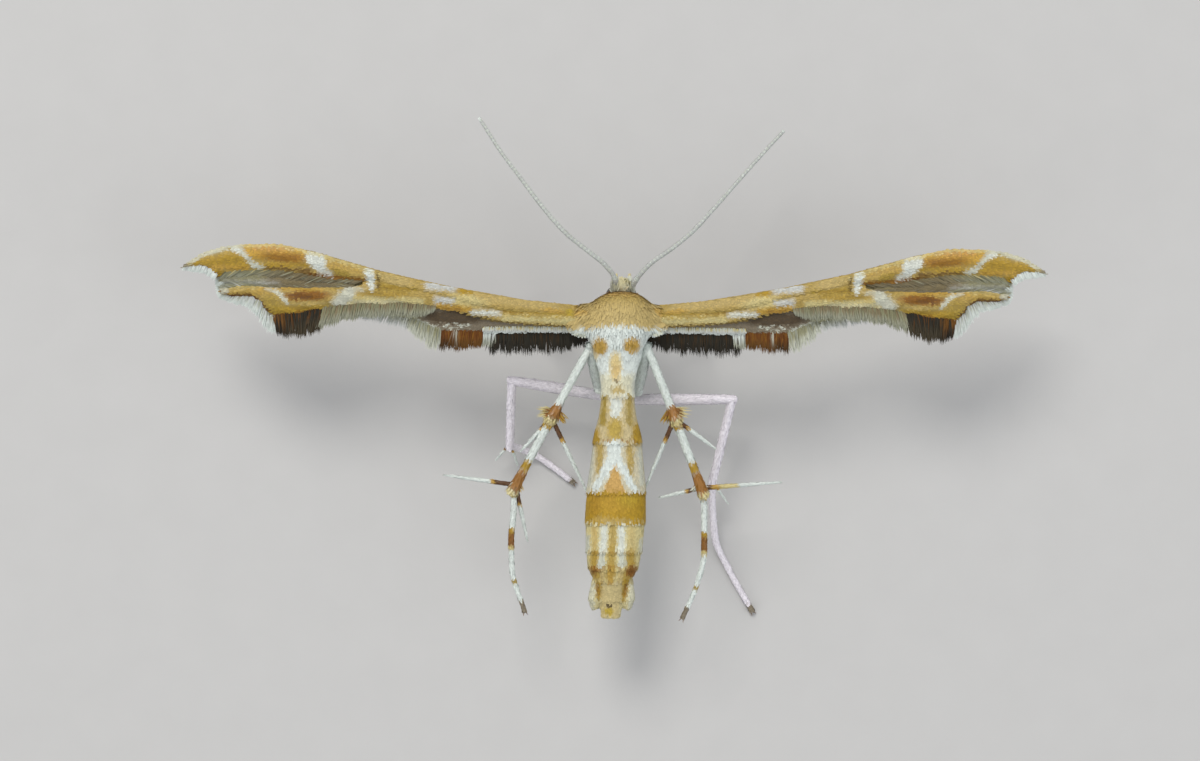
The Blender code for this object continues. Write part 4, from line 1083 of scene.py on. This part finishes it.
def bodyLie(points):                    # the way the coat lies: back along the body, out over the wing roots
    y, z = points[:, 1], points[:, 2]
    a = points[:, 0] - body["line"](y)
    lie = np.stack((0.15 * a, -np.ones(len(a)), -0.1 * np.ones(len(a))), axis=-1)
    lie[:, 2] += step(1.45, 1.85, y) * (2.0 * step(2.60, 2.84, z) - 1.0)
    lie[:, 0] += step(0.4, 0.8, np.abs(a)) * window(y, (0.9, 1.2), (1.75, 1.9)) * np.sign(a) * 0.9
    head = (step(1.9, 2.0, y) * (1 - step(3.0, 3.1, z)))[:, None]
    up = 0.55 - 2.6 * (1 - step(2.72, 2.9, z))      # down the face, up on the crown
    forward = np.stack((0.5 * (a - 0.03), np.full(len(a), 0.8), up), axis=-1)
    return lie * (1 - head) + forward * head


def unwrapBody(points, rows):           # share round the body and share along it
    y = points[:, 1]
    turn = np.arctan2(points[:, 0] - body["line"](y), points[:, 2] - 2.75) / (2 * math.pi) + 0.5
    return spotOn(turn, (y - rows[0]) / (rows[1] - rows[0]))


def bodyScales(name, wanted, seed, rows, form="tile"):
    look = bodyCoat[name]
    rng = np.random.default_rng(seed)
    places, upward = spreadOver(trunkPoints, trunkNormals, trunkQuads, look["spacing"], wanted, seed)
    x, y, z = places.T
    count = len(places)
    lie = bodyLie(places) + rng.normal(0, bodyCoat["wander"], (count, 3))
    along = unit(lie - upward * (lie * upward).sum(axis=1)[:, None])
    blur = rng.normal(0, bodyCoat["blur"], (count, 3))
    paint = bodyColours(places + blur + along * look["length"] * 0.55, upward)
    length = look["length"] * rng.uniform(0.75, 1.25, count)
    length = length * (1 - bodyCoat["tail"] * (1 - step(-5.6, -5.3, y)))
    length = length * (1 - bodyCoat["under"] * (1 - step(2.35, 2.6, z)) * (y > 0.3))
    width = look["width"] * rng.uniform(0.8, 1.2, count)
    lift = look["lift"] * rng.uniform(0.4, 1.6, count)
    if name == "abdomen":               # the rows over the rings' edges stand up a little
        nearEdge = np.min(np.abs(y[:, None] - np.array(body["rings"])[None, :] - 0.06), axis=1) < 0.07
        more, less = bodyCoat["edges"]
        lift = np.where(nearEdge, lift * more, lift * less)
    if name == "thorax":                # short and flat over the neck
        front = step(1.65, 1.9, y)
        flatter, shorter = bodyCoat["neck"]
        lift, length = lift * (1 - flatter * front), length * (1 - shorter * front)
    if name == "head":                  # a tuft on the crown
        crown = (z > 2.84) & (np.abs(x - 0.24) < 0.32)
        longer, raised = bodyCoat["crown"]
        length, lift = np.where(crown, length * longer, length), np.where(crown, raised, lift)
    return layCoat(name + "Coat", form, places, along, upward, length, width, lift, lift * 0.45, paint,
                   rng.uniform(0, 1, count), unwrapBody(places, rows), ridged=name != "abdomen")


def isHead(points):
    return (points[:, 1] > 1.88) & (points[:, 2] < 3.06)


abdomenCoat = bodyScales("abdomen", lambda p: (p[:, 1] < 0.62) & ~isHead(p), 11, (-6.5, 0.7))
thoraxCoat = bodyScales("thorax", lambda p: (p[:, 1] >= 0.56) & ~isHead(p), 12, (0.4, 2.2), "spoon")
headCoat = bodyScales("head", isHead, 13, (1.8, 2.6))
print("body scales:", *(len(coat.data.polygons) for coat in (abdomenCoat, thoraxCoat, headCoat)))


limbCoat = {
    "lift": 0.14, "width": 0.042, "spurWidth": 0.030,
    "feeler": (0.07, 0.030), "palp": (0.11, 0.034), "palpLift": 0.22,       # lengths and widths
    "rowStep": 0.42, "roundStep": 0.72,             # shares of a scale's length and width
    "sunk": 0.014,                      # how deep the roots lie
    "sole": 0.015,                      # no scale starts lower than this
}


def limbScales(name, path, radii, bands, length, width, seed, strip, lift=limbCoat["lift"], spread=None):
    rng = np.random.default_rng(seed)
    along, across, other, _ = tubeRings(path, radii, 3)
    far = farAlong(path)
    around = max(int(2 * math.pi * radii.mean() / (width * limbCoat["roundStep"])), 5)
    whole = far[-1] + radii[-1] * 1.2   # the last scales close over the rounded end
    rows = max(int(whole / (length * limbCoat["rowStep"])), 2)
    count = rows * around
    at = (np.repeat(np.arange(rows), around) + rng.uniform(0, 1, count)) / rows * whole
    turn = (np.tile(np.arange(around), rows) + rng.uniform(-0.3, 0.3, count)
            + np.repeat(np.arange(rows) % 2, around) * 0.5) / around * 2 * math.pi
    share = np.minimum(at / far[-1], 1.0)
    over = np.clip((at - far[-1]) / radii[-1], 0, 1.2)

    def read(values):
        return np.stack([np.interp(at, far, values[:, c]) for c in range(3)], axis=-1)
    axis, first, second = unit(read(along)), unit(read(across)), unit(read(other))
    spoke = unit(first * np.cos(turn)[:, None] + second * np.sin(turn)[:, None])
    upward = spoke * np.cos(over)[:, None] + axis * np.sin(over)[:, None]
    roots = read(path) + upward * (np.interp(at, far, radii) - limbCoat["sunk"])[:, None]
    lie = axis * np.cos(over)[:, None] - spoke * np.sin(over)[:, None]
    lie = unit(lie + rng.normal(0, 0.07, (count, 3)))
    blur = rng.normal(0, 0.006, count)
    long = length * rng.uniform(0.8, 1.2, count) * (1 - 0.4 * over)
    raised = lift * rng.uniform(0.4, 1.6, count)
    if spread is not None:
        raised = raised + spread(share)
        long = long * (1 + spread(share) * 0.9)
    up = (strip[1] - strip[0]) * (turn / (2 * math.pi)) % 1.0
    spot = np.stack((0.01 + 0.98 * share, strip[0] + up), axis=-1)
    keep = roots[:, 2] > limbCoat["sole"]
    laid = (roots, lie, upward, long, width * rng.uniform(0.8, 1.2, count), raised, raised * 0.3,
            bandPaint(share + blur, bands), rng.uniform(0, 1, count), spot)
    return layCoat(name, "tile", *(values[keep] for values in laid))


def hindSpread(share):                  # the hind shins bristle where their spurs leave
    return 0.45 * np.exp(-((share - 0.47) / 0.05) ** 2) + 0.30 * step(0.88, 1.0, share)


tufts = {        # where on the shin, which way, how long, how many, colour near the base, colour of the tips
    "hindLeft": (((-1.50, -1.06, 2.77), (-1.0, 0.04, 0.05), 0.46, 22, "rust", "cream"),
                 ((-1.60, -1.28, 2.74), (-0.65, -0.75, 0.0), 0.30, 16, "amber", "straw"),
                 ((-1.40, -1.10, 2.73), (0.50, -0.85, 0.0), 0.34, 16, "rust", "amber"),
                 ((-2.44, -2.80, 2.53), (-0.80, -0.60, 0.1), 0.28, 16, "amber", "milk"),
                 ((-2.44, -2.90, 2.50), (0.35, -0.95, 0.0), 0.26, 14, "rust", "straw")),
    "hindRight": (((1.50, -1.04, 2.76), (1.0, -0.06, 0.05), 0.46, 22, "rust", "cream"),
                  ((1.60, -1.26, 2.73), (0.60, -0.80, 0.0), 0.28, 16, "amber", "straw"),
                  ((1.42, -1.06, 2.73), (-0.50, -0.85, 0.0), 0.36, 16, "rust", "amber"),
                  ((2.22, -2.88, 2.53), (0.50, -0.85, 0.1), 0.26, 16, "amber", "milk"),
                  ((2.16, -2.90, 2.50), (-0.50, -0.85, 0.0), 0.28, 14, "rust", "milk")),
}


tuftLook = {"width": 0.030, "lift": 0.05, "curl": 0.08, "wander": 0.20, "base": 0.03}


def tuftScales(base, way, long, pairs, near, tip, seed):      # long scales off a shin, half of them pale
    rng = np.random.default_rng(seed)
    count = pairs * 2
    way = unit(np.array(way) + rng.normal(0, tuftLook["wander"], (count, 3)))
    up = np.cross(np.cross(way, (0.0, 0.0, 1.0)), way)
    up = unit(up + rng.normal(0, tuftLook["wander"], (count, 3)))
    up = unit(up - way * (up * way).sum(axis=1)[:, None])
    pale = np.arange(count) % 2
    paint = np.where(pale[:, None] > 0, flat(tip, count), flat(near, count))
    length = long * rng.uniform(0.6, 1.05, count) * (0.68 + 0.32 * pale)
    roots = np.array(base) + rng.normal(0, tuftLook["base"], (count, 3))
    width, lift = np.full(count, tuftLook["width"]), np.full(count, tuftLook["lift"])
    return layCoat("tuft", "hair", roots, way, up, length, width, lift, tuftLook["curl"],
                   paint, rng.uniform(0, 1, count), 0.5 + rng.uniform(-0.1, 0.1, (count, 2)))


def legCoat(word):
    mine = [part for part in legParts() if word in part[0]]
    pieces = []
    for i, (name, path, radii, bands, length) in enumerate(mine):
        strip = (0.01 + 0.98 * i / len(mine), 0.01 + 0.98 * (i + 0.9) / len(mine))
        spread = hindSpread if name.startswith("hind") and "Tibia" in name else None
        width = limbCoat["spurWidth" if "Spur" in name else "width"]
        pieces.append(limbScales(name, path, radii, bands, length, width, 40 + i, strip, spread=spread))
    pieces += [tuftScales(*tuft, 140 + i) for i, tuft in enumerate(tufts["hind" + word])]
    return joined("legCoat" + word, pieces)


def feelerCoat():                       # of the feelers and the palps
    first, count = 0.07, feelers["beads"]
    joints = [first + (1 - first) * np.array((k, k + 0.4)) / count for k in range(count)]
    beads = tuple((start, end, "moss") for start, end in joints)
    pieces = []
    for i, word in enumerate(("left", "right")):
        path = feelerPath(word)
        pieces.append(limbScales("feeler", path, feelerRadii(path) + 0.004, ((0.0, 1.01, "white"),) + beads,
                                 *limbCoat["feeler"], 70 + i, (0.02 + 0.5 * i, 0.46 + 0.5 * i)))
    for side in (-1, 1):
        path = palpPath(side)
        pieces.append(limbScales("palp", path, palpRadii(path), limbBands["palpCoat"],
                                 *limbCoat["palp"], 74 + side, (0.97, 0.99), limbCoat["palpLift"]))
    return joined("feelerCoat", pieces)


def wingCoats(side, word):              # fore and hind wing, both faces, and the fringes
    fore = (foreStrips, foreRelief, foreColours)
    hind = (hindStrips, hindRelief, hindColours)
    foreFaces = wingScales(side, *fore, True, 21) + wingScales(side, *fore, False, 22)
    hindFaces = wingScales(side, *hind, True, 23) + wingScales(side, *hind, False, 24)
    rng = np.random.default_rng(90 + (side > 0))
    edges = []
    for name in fringes:
        edges.append(fringeHairs(name, side, hindRelief if name.startswith("hind") else foreRelief, rng))
    coats = (("foreCoat", foreFaces), ("hindCoat", hindFaces), ("fringe", edges))
    return [joined(name + word, shapes) for name, shapes in coats]


coats = [abdomenCoat, thoraxCoat, headCoat, legCoat("Left"), legCoat("Right"), feelerCoat()]
coats += wingCoats(-1, "Left") + wingCoats(1, "Right")
print("coat pieces:", {coat.name: len(coat.data.polygons) * 2 for coat in coats})


faceParts = {
    "eye": (0.170, 0.200, 0.225),       # radii
    "eyeAt": (0.225, 1.92, 2.55),       # away from the middle line, along, up
    "lenses": 5,                        # how many times the eye's faces are parted
    "valley": 0.988,                    # how deep the lenses' edges lie
    "tongue": 0.032, "tongueTip": 0.014, "coil": 0.125, "coilTurns": 2.6, "coilStep": 0.030,
    "coilAt": (2.15, 2.10), "throat": ((1.98, 2.40), (2.02, 2.31), (2.07, 2.25), (2.11, 2.23)),
}


def eyeBall(side):                      # a dome of six-sided lenses, each bulging a little
    shape = bmesh.new()
    bmesh.ops.create_icosphere(shape, subdivisions=faceParts["lenses"], radius=1.0)
    shape.verts.ensure_lookup_table()
    shape.faces.ensure_lookup_table()
    lens = np.array([vertex.co for vertex in shape.verts])
    valley = unit(np.array([face.calc_center_median() for face in shape.faces])) * faceParts["valley"]
    faces = []
    for edge in shape.edges:
        a, b = (vertex.index for vertex in edge.verts)
        f, g = (face.index + len(lens) for face in edge.link_faces)
        faces += [(a, f, g), (b, g, f)]
    shape.free()
    away, y, z = faceParts["eyeAt"]
    centre = np.array((body["line"](y + 0.01) + side * away, y, z))
    points = np.concatenate((lens, valley))
    faces = np.array(faces)
    first, second, third = points[faces].transpose(1, 0, 2)
    inward = (np.cross(second - first, third - first) * first).sum(axis=1) < 0
    faces[inward] = faces[inward][:, ::-1]
    return meshFrom("eyeLeft" if side < 0 else "eyeRight", points * faceParts["eye"] + centre, faces)


def openTube(path, radii, sides):       # a limb without its end faces
    points, faces = limb(path, radii, sides)
    return points, faces[:-2]


def tonguePiece():                      # coiled under the head
    turn = np.linspace(0, 2 * math.pi * faceParts["coilTurns"], 90)
    radius = faceParts["coil"] - faceParts["coilStep"] * turn / (2 * math.pi)
    middle = body["line"](2.2)
    along, high = faceParts["coilAt"]
    y, z = along + radius * np.sin(turn), high + radius * np.cos(turn)
    coil = np.stack((middle + 0.012 * np.sin(turn), y, z), axis=-1)
    path = np.concatenate(([(middle, y, z) for y, z in faceParts["throat"]], coil))
    radii = np.linspace(faceParts["tongue"], faceParts["tongueTip"], len(path))
    return meshFrom("tongue", *openTube(path, radii, 10))


def clawPiece():                        # two small hooks at the end of each foot
    look = legs["claw"]
    t = np.linspace(0, 1, 7)[:, None]
    hooks = []
    for name, path, *_ in legParts():
        if not name.endswith("Tarsus"):
            continue
        tip, ahead = path[-1], unit(path[-1] - path[-3])
        sideways = unit(np.cross(ahead, (0.0, 0.0, 1.0)))
        for side in (-1, 1):
            hook = tip + ahead * (0.03 + look["ahead"] * np.sin(t * 1.5))
            hook = hook + sideways * side * (0.02 + look["spread"] * t)
            hook = hook + np.array((0, 0, 1.0)) * (0.012 - look["drop"] * t * t)
            hook[:, 2] = np.maximum(hook[:, 2], 0.012)
            hooks.append(openTube(hook, np.linspace(look["radius"], look["tip"], len(hook)), 8))
    return meshFrom("claws", *merged(hooks))


eyes = [eyeBall(-1), eyeBall(1)]
tongue = tonguePiece()
claws = clawPiece()
print("eyes, tongue and claws made")


class Value:                            # a socket that can be added, taken away, multiplied and so on
    def __init__(self, shader, socket):
        self.shader, self.socket = shader, socket


def overload(name, operation):          # both forms of an operator: a value first, or a number first
    def combined(first, second):
        value = first if isinstance(first, Value) else second
        return value.shader.node("ShaderNodeMath", {"operation": operation}, {0: first, 1: second})
    setattr(Value, "__%s__" % name, combined)
    setattr(Value, "__r%s__" % name, lambda value, number: combined(number, value))


for name, operation in (("add", "ADD"), ("sub", "SUBTRACT"), ("mul", "MULTIPLY"), ("pow", "POWER")):
    overload(name, operation)


class Shader:                           # a material and the nodes in it
    def __init__(self, name):
        self.material = bpy.data.materials.new(name)
        self.material.use_nodes = True
        self.tree = self.material.node_tree
        self.finish = self.tree.nodes["Principled BSDF"]

    def give(self, socket, value):      # a link, a colour or a number
        if isinstance(value, Value):
            self.tree.links.new(value.socket, socket)
        elif socket.type == "RGBA":
            socket.default_value = (*value, 1.0)
        else:
            socket.default_value = value

    def node(self, kind, settings=None, inputs=None, output=0):
        made = self.tree.nodes.new(kind)
        for key, value in (settings or {}).items():
            setattr(made, key, value)
        for key, value in (inputs or {}).items():
            self.give(made.inputs[key], value)
        return Value(self, made.outputs[output])

    def ramp(self, share, *stops):      # a colour that runs through (place, colour) stops
        made = self.node("ShaderNodeValToRGB", inputs={0: share})
        elements = made.socket.node.color_ramp.elements
        elements.remove(elements[0])
        for i, (place, colour) in enumerate(stops):
            stop = elements[0] if i == 0 else elements.new(place)
            stop.position, stop.color = place, (*colour, 1.0)
        return made

    def attribute(self, name, output):
        return self.node("ShaderNodeAttribute", {"attribute_name": name}, output=output)

    def place(self):
        return self.node("ShaderNodeTexCoord", output=3)

    def noise(self, scale, detail=2.0):
        sockets = {"Vector": self.place(), "Scale": scale, "Detail": detail}
        return self.node("ShaderNodeTexNoise", inputs=sockets)

    def colour(self, red, green, blue):
        return self.node("ShaderNodeCombineColor", inputs={0: red, 1: green, 2: blue})

    def shaded(self, value):            # the markings, darker or lighter by a value
        grey = self.colour(value, value, value)
        return self.node("ShaderNodeMix", {"data_type": "RGBA", "blend_type": "MULTIPLY"},
                         {0: 1.0, 6: self.attribute("pigment", 0), 7: grey}, output=2)

    def bump(self, strength, height, distance=0.00001):
        sockets = {"Strength": strength, "Distance": distance, "Height": height}
        return self.node("ShaderNodeBump", inputs=sockets)

    def set(self, **sockets):
        names = {"baseColour": "Base Color", "roughness": "Roughness", "normal": "Normal",
                 "coat": "Coat Weight", "coatRoughness": "Coat Roughness", "gloss": "Specular IOR Level"}
        for key, value in sockets.items():
            self.give(self.finish.inputs[names[key]], value)
        return self.material


grains = {                              # how fine the noise of each finish is
    "scale": 9000.0, "scaleBump": 26000.0, "cuticle": 6000.0, "cuticleBump": 20000.0,
    "eye": 7000.0, "horn": 12000.0, "floor": 900.0, "floorBump": 5000.0,
}
eyeColours = ((0.30, (0.012, 0.008, 0.006)), (0.55, (0.045, 0.026, 0.014)), (0.80, (0.10, 0.065, 0.03)))
hornColours = ((0.2, (0.10, 0.045, 0.015)), (0.8, (0.30, 0.15, 0.05)))
finishes = {    # roughness, painted shade at a scale's root beside its tip, how much lighter the palest are, gloss
    "scales": (0.52, 0.72, 0.24, 0.15),
    "fringeHair": (0.60, 0.88, 0.24, 0.15),
    "limbScales": (0.36, 0.85, 0.20, 0.50),
}


def scaleMaterial(name, roughness, shade, light, gloss):
    shader = Shader(name)
    chance = shader.attribute("chance", 2)
    reach = shader.attribute("reach", 2)
    tone = 1.0 - light * 0.5 + light * chance
    # painted shade: each scale darker at its root, where the scales before it overlap
    paintedRootShade = shade + (1.0 - shade) * (reach ** 0.6)
    grain = shader.noise(grains["scale"], 3.0)
    return shader.set(baseColour=shader.shaded(tone * paintedRootShade * (0.88 + 0.24 * grain)),
                      roughness=roughness + 0.22 * (chance - 0.5),
                      normal=shader.bump(0.35, shader.noise(grains["scaleBump"])), gloss=gloss)


def cuticleMaterial():
    shader = Shader("cuticle")
    grain = shader.noise(grains["cuticle"], 4.0)
    return shader.set(baseColour=shader.shaded(0.75 + 0.4 * grain), roughness=0.55 + 0.2 * grain,
                      normal=shader.bump(0.4, shader.noise(grains["cuticleBump"])), gloss=0.35)


def eyeMaterial():
    shader = Shader("eyeLens")
    mottle = shader.noise(grains["eye"])
    return shader.set(baseColour=shader.ramp(mottle, *eyeColours), roughness=0.16 + 0.1 * mottle,
                      coat=0.6, coatRoughness=0.08, gloss=0.6)


def hornMaterial():
    shader = Shader("horn")
    grain = shader.noise(grains["horn"], 3.0)
    return shader.set(baseColour=shader.ramp(grain, *hornColours), roughness=0.32 + 0.1 * grain, gloss=0.5)


def floorMaterial():
    shader = Shader("paleFloor")
    far = shader.node("ShaderNodeVectorMath", {"operation": "LENGTH"}, {0: shader.place()}, output=1)
    ends = {"Value": far, "From Min": studio["palerFrom"], "From Max": studio["palerTo"],
            "To Min": 1.0, "To Max": studio["paler"]}
    # painted light: paler further from the middle, where the lamps don't reach
    paler = shader.node("ShaderNodeMapRange", {"interpolation_type": "SMOOTHSTEP"}, ends)
    value = (0.56 + 0.03 * shader.noise(grains["floor"], 4.0)) * paler
    return shader.set(baseColour=shader.colour(value, value * 0.995, value * 0.985), roughness=0.75,
                      normal=shader.bump(0.08, shader.noise(grains["floorBump"], 3.0), 0.00003), gloss=0.2)


skin.data.materials.append(cuticleMaterial())
scales, hairs, sleek = (scaleMaterial(name, *look) for name, look in finishes.items())
for coat in coats:
    coat.data.materials.clear()
    coat.data.materials.append({"fri": hairs, "leg": sleek, "fee": sleek}.get(coat.name[:3], scales))
lensMaterial = eyeMaterial()
for eye in eyes:
    eye.data.materials.append(lensMaterial)
horn = hornMaterial()
for piece in (tongue, claws):
    piece.data.materials.append(horn)

flesh = [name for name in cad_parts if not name.startswith("eye_")]
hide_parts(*flesh)
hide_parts("eye_left")
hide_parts("eye_right")
for piece in [skin, tongue, claws] + eyes + coats:
    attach(piece, "root")

studio = {                              # in metres
    "floor": 0.8,
    "palerFrom": 0.08, "palerTo": 0.36, "paler": 1.66,      # painted light: the floor paler far away, where the lamps don't reach
    "aim": (0.0, 0.0, 0.003),           # where the lamps point
    "world": (0.83, 0.84, 0.86), "worldStrength": 0.66,
    "lamps": {                          # place, size, power, colour
        "key": ((-0.05, 0.14, 0.17), 0.10, 0.26, (1.0, 0.97, 0.92)),
        "fill": ((0.16, -0.06, 0.12), 0.14, 0.07, (0.92, 0.96, 1.0)),
        "back": ((-0.15, -0.12, 0.10), 0.14, 0.05, (1.0, 1.0, 1.0)),
    },
}


def areaLight(name, at, size, power, colour):
    light = bpy.data.lights.new(name, "AREA")
    light.shape = "DISK"
    light.size = size
    light.energy = power
    light.color = colour
    lamp = bpy.data.objects.new(name, light)
    lamp.location = at
    lamp.rotation_euler = (Vector(studio["aim"]) - Vector(at)).to_track_quat("-Z", "Y").to_euler()
    bpy.context.scene.collection.objects.link(lamp)


half = studio["floor"] / 2 / model["mm"]
corners = [(x * half, y * half, 0) for x, y in ((-1, -1), (1, -1), (1, 1), (-1, 1))]
floor = meshFrom("floor", corners, [(0, 1, 2, 3)])
floor.data.materials.append(floorMaterial())
world = bpy.data.worlds.new("studio")
world.use_nodes = True
background = world.node_tree.nodes["Background"].inputs
background["Color"].default_value = (*studio["world"], 1.0)
background["Strength"].default_value = studio["worldStrength"]
bpy.context.scene.world = world
for name, lamp in studio["lamps"].items():
    areaLight(name, *lamp)

view = {"over": (-0.343, -0.267), "away": 120.0, "plane": 3.3, "width": 30.52}    # straight down on the wings
lens = bpy.data.cameras.new("camera")
lens.sensor_width = 36.0
lens.lens = lens.sensor_width * view["away"] / view["width"]
lens.clip_start = 0.001
lens.clip_end = 10.0
camera = bpy.data.objects.new("camera", lens)
camera.location = toFrame((*view["over"], view["plane"] + view["away"]))
bpy.context.scene.collection.objects.link(camera)
bpy.context.scene.camera = camera
bpy.context.scene.view_settings.view_transform = "Standard"

print("scene ready")
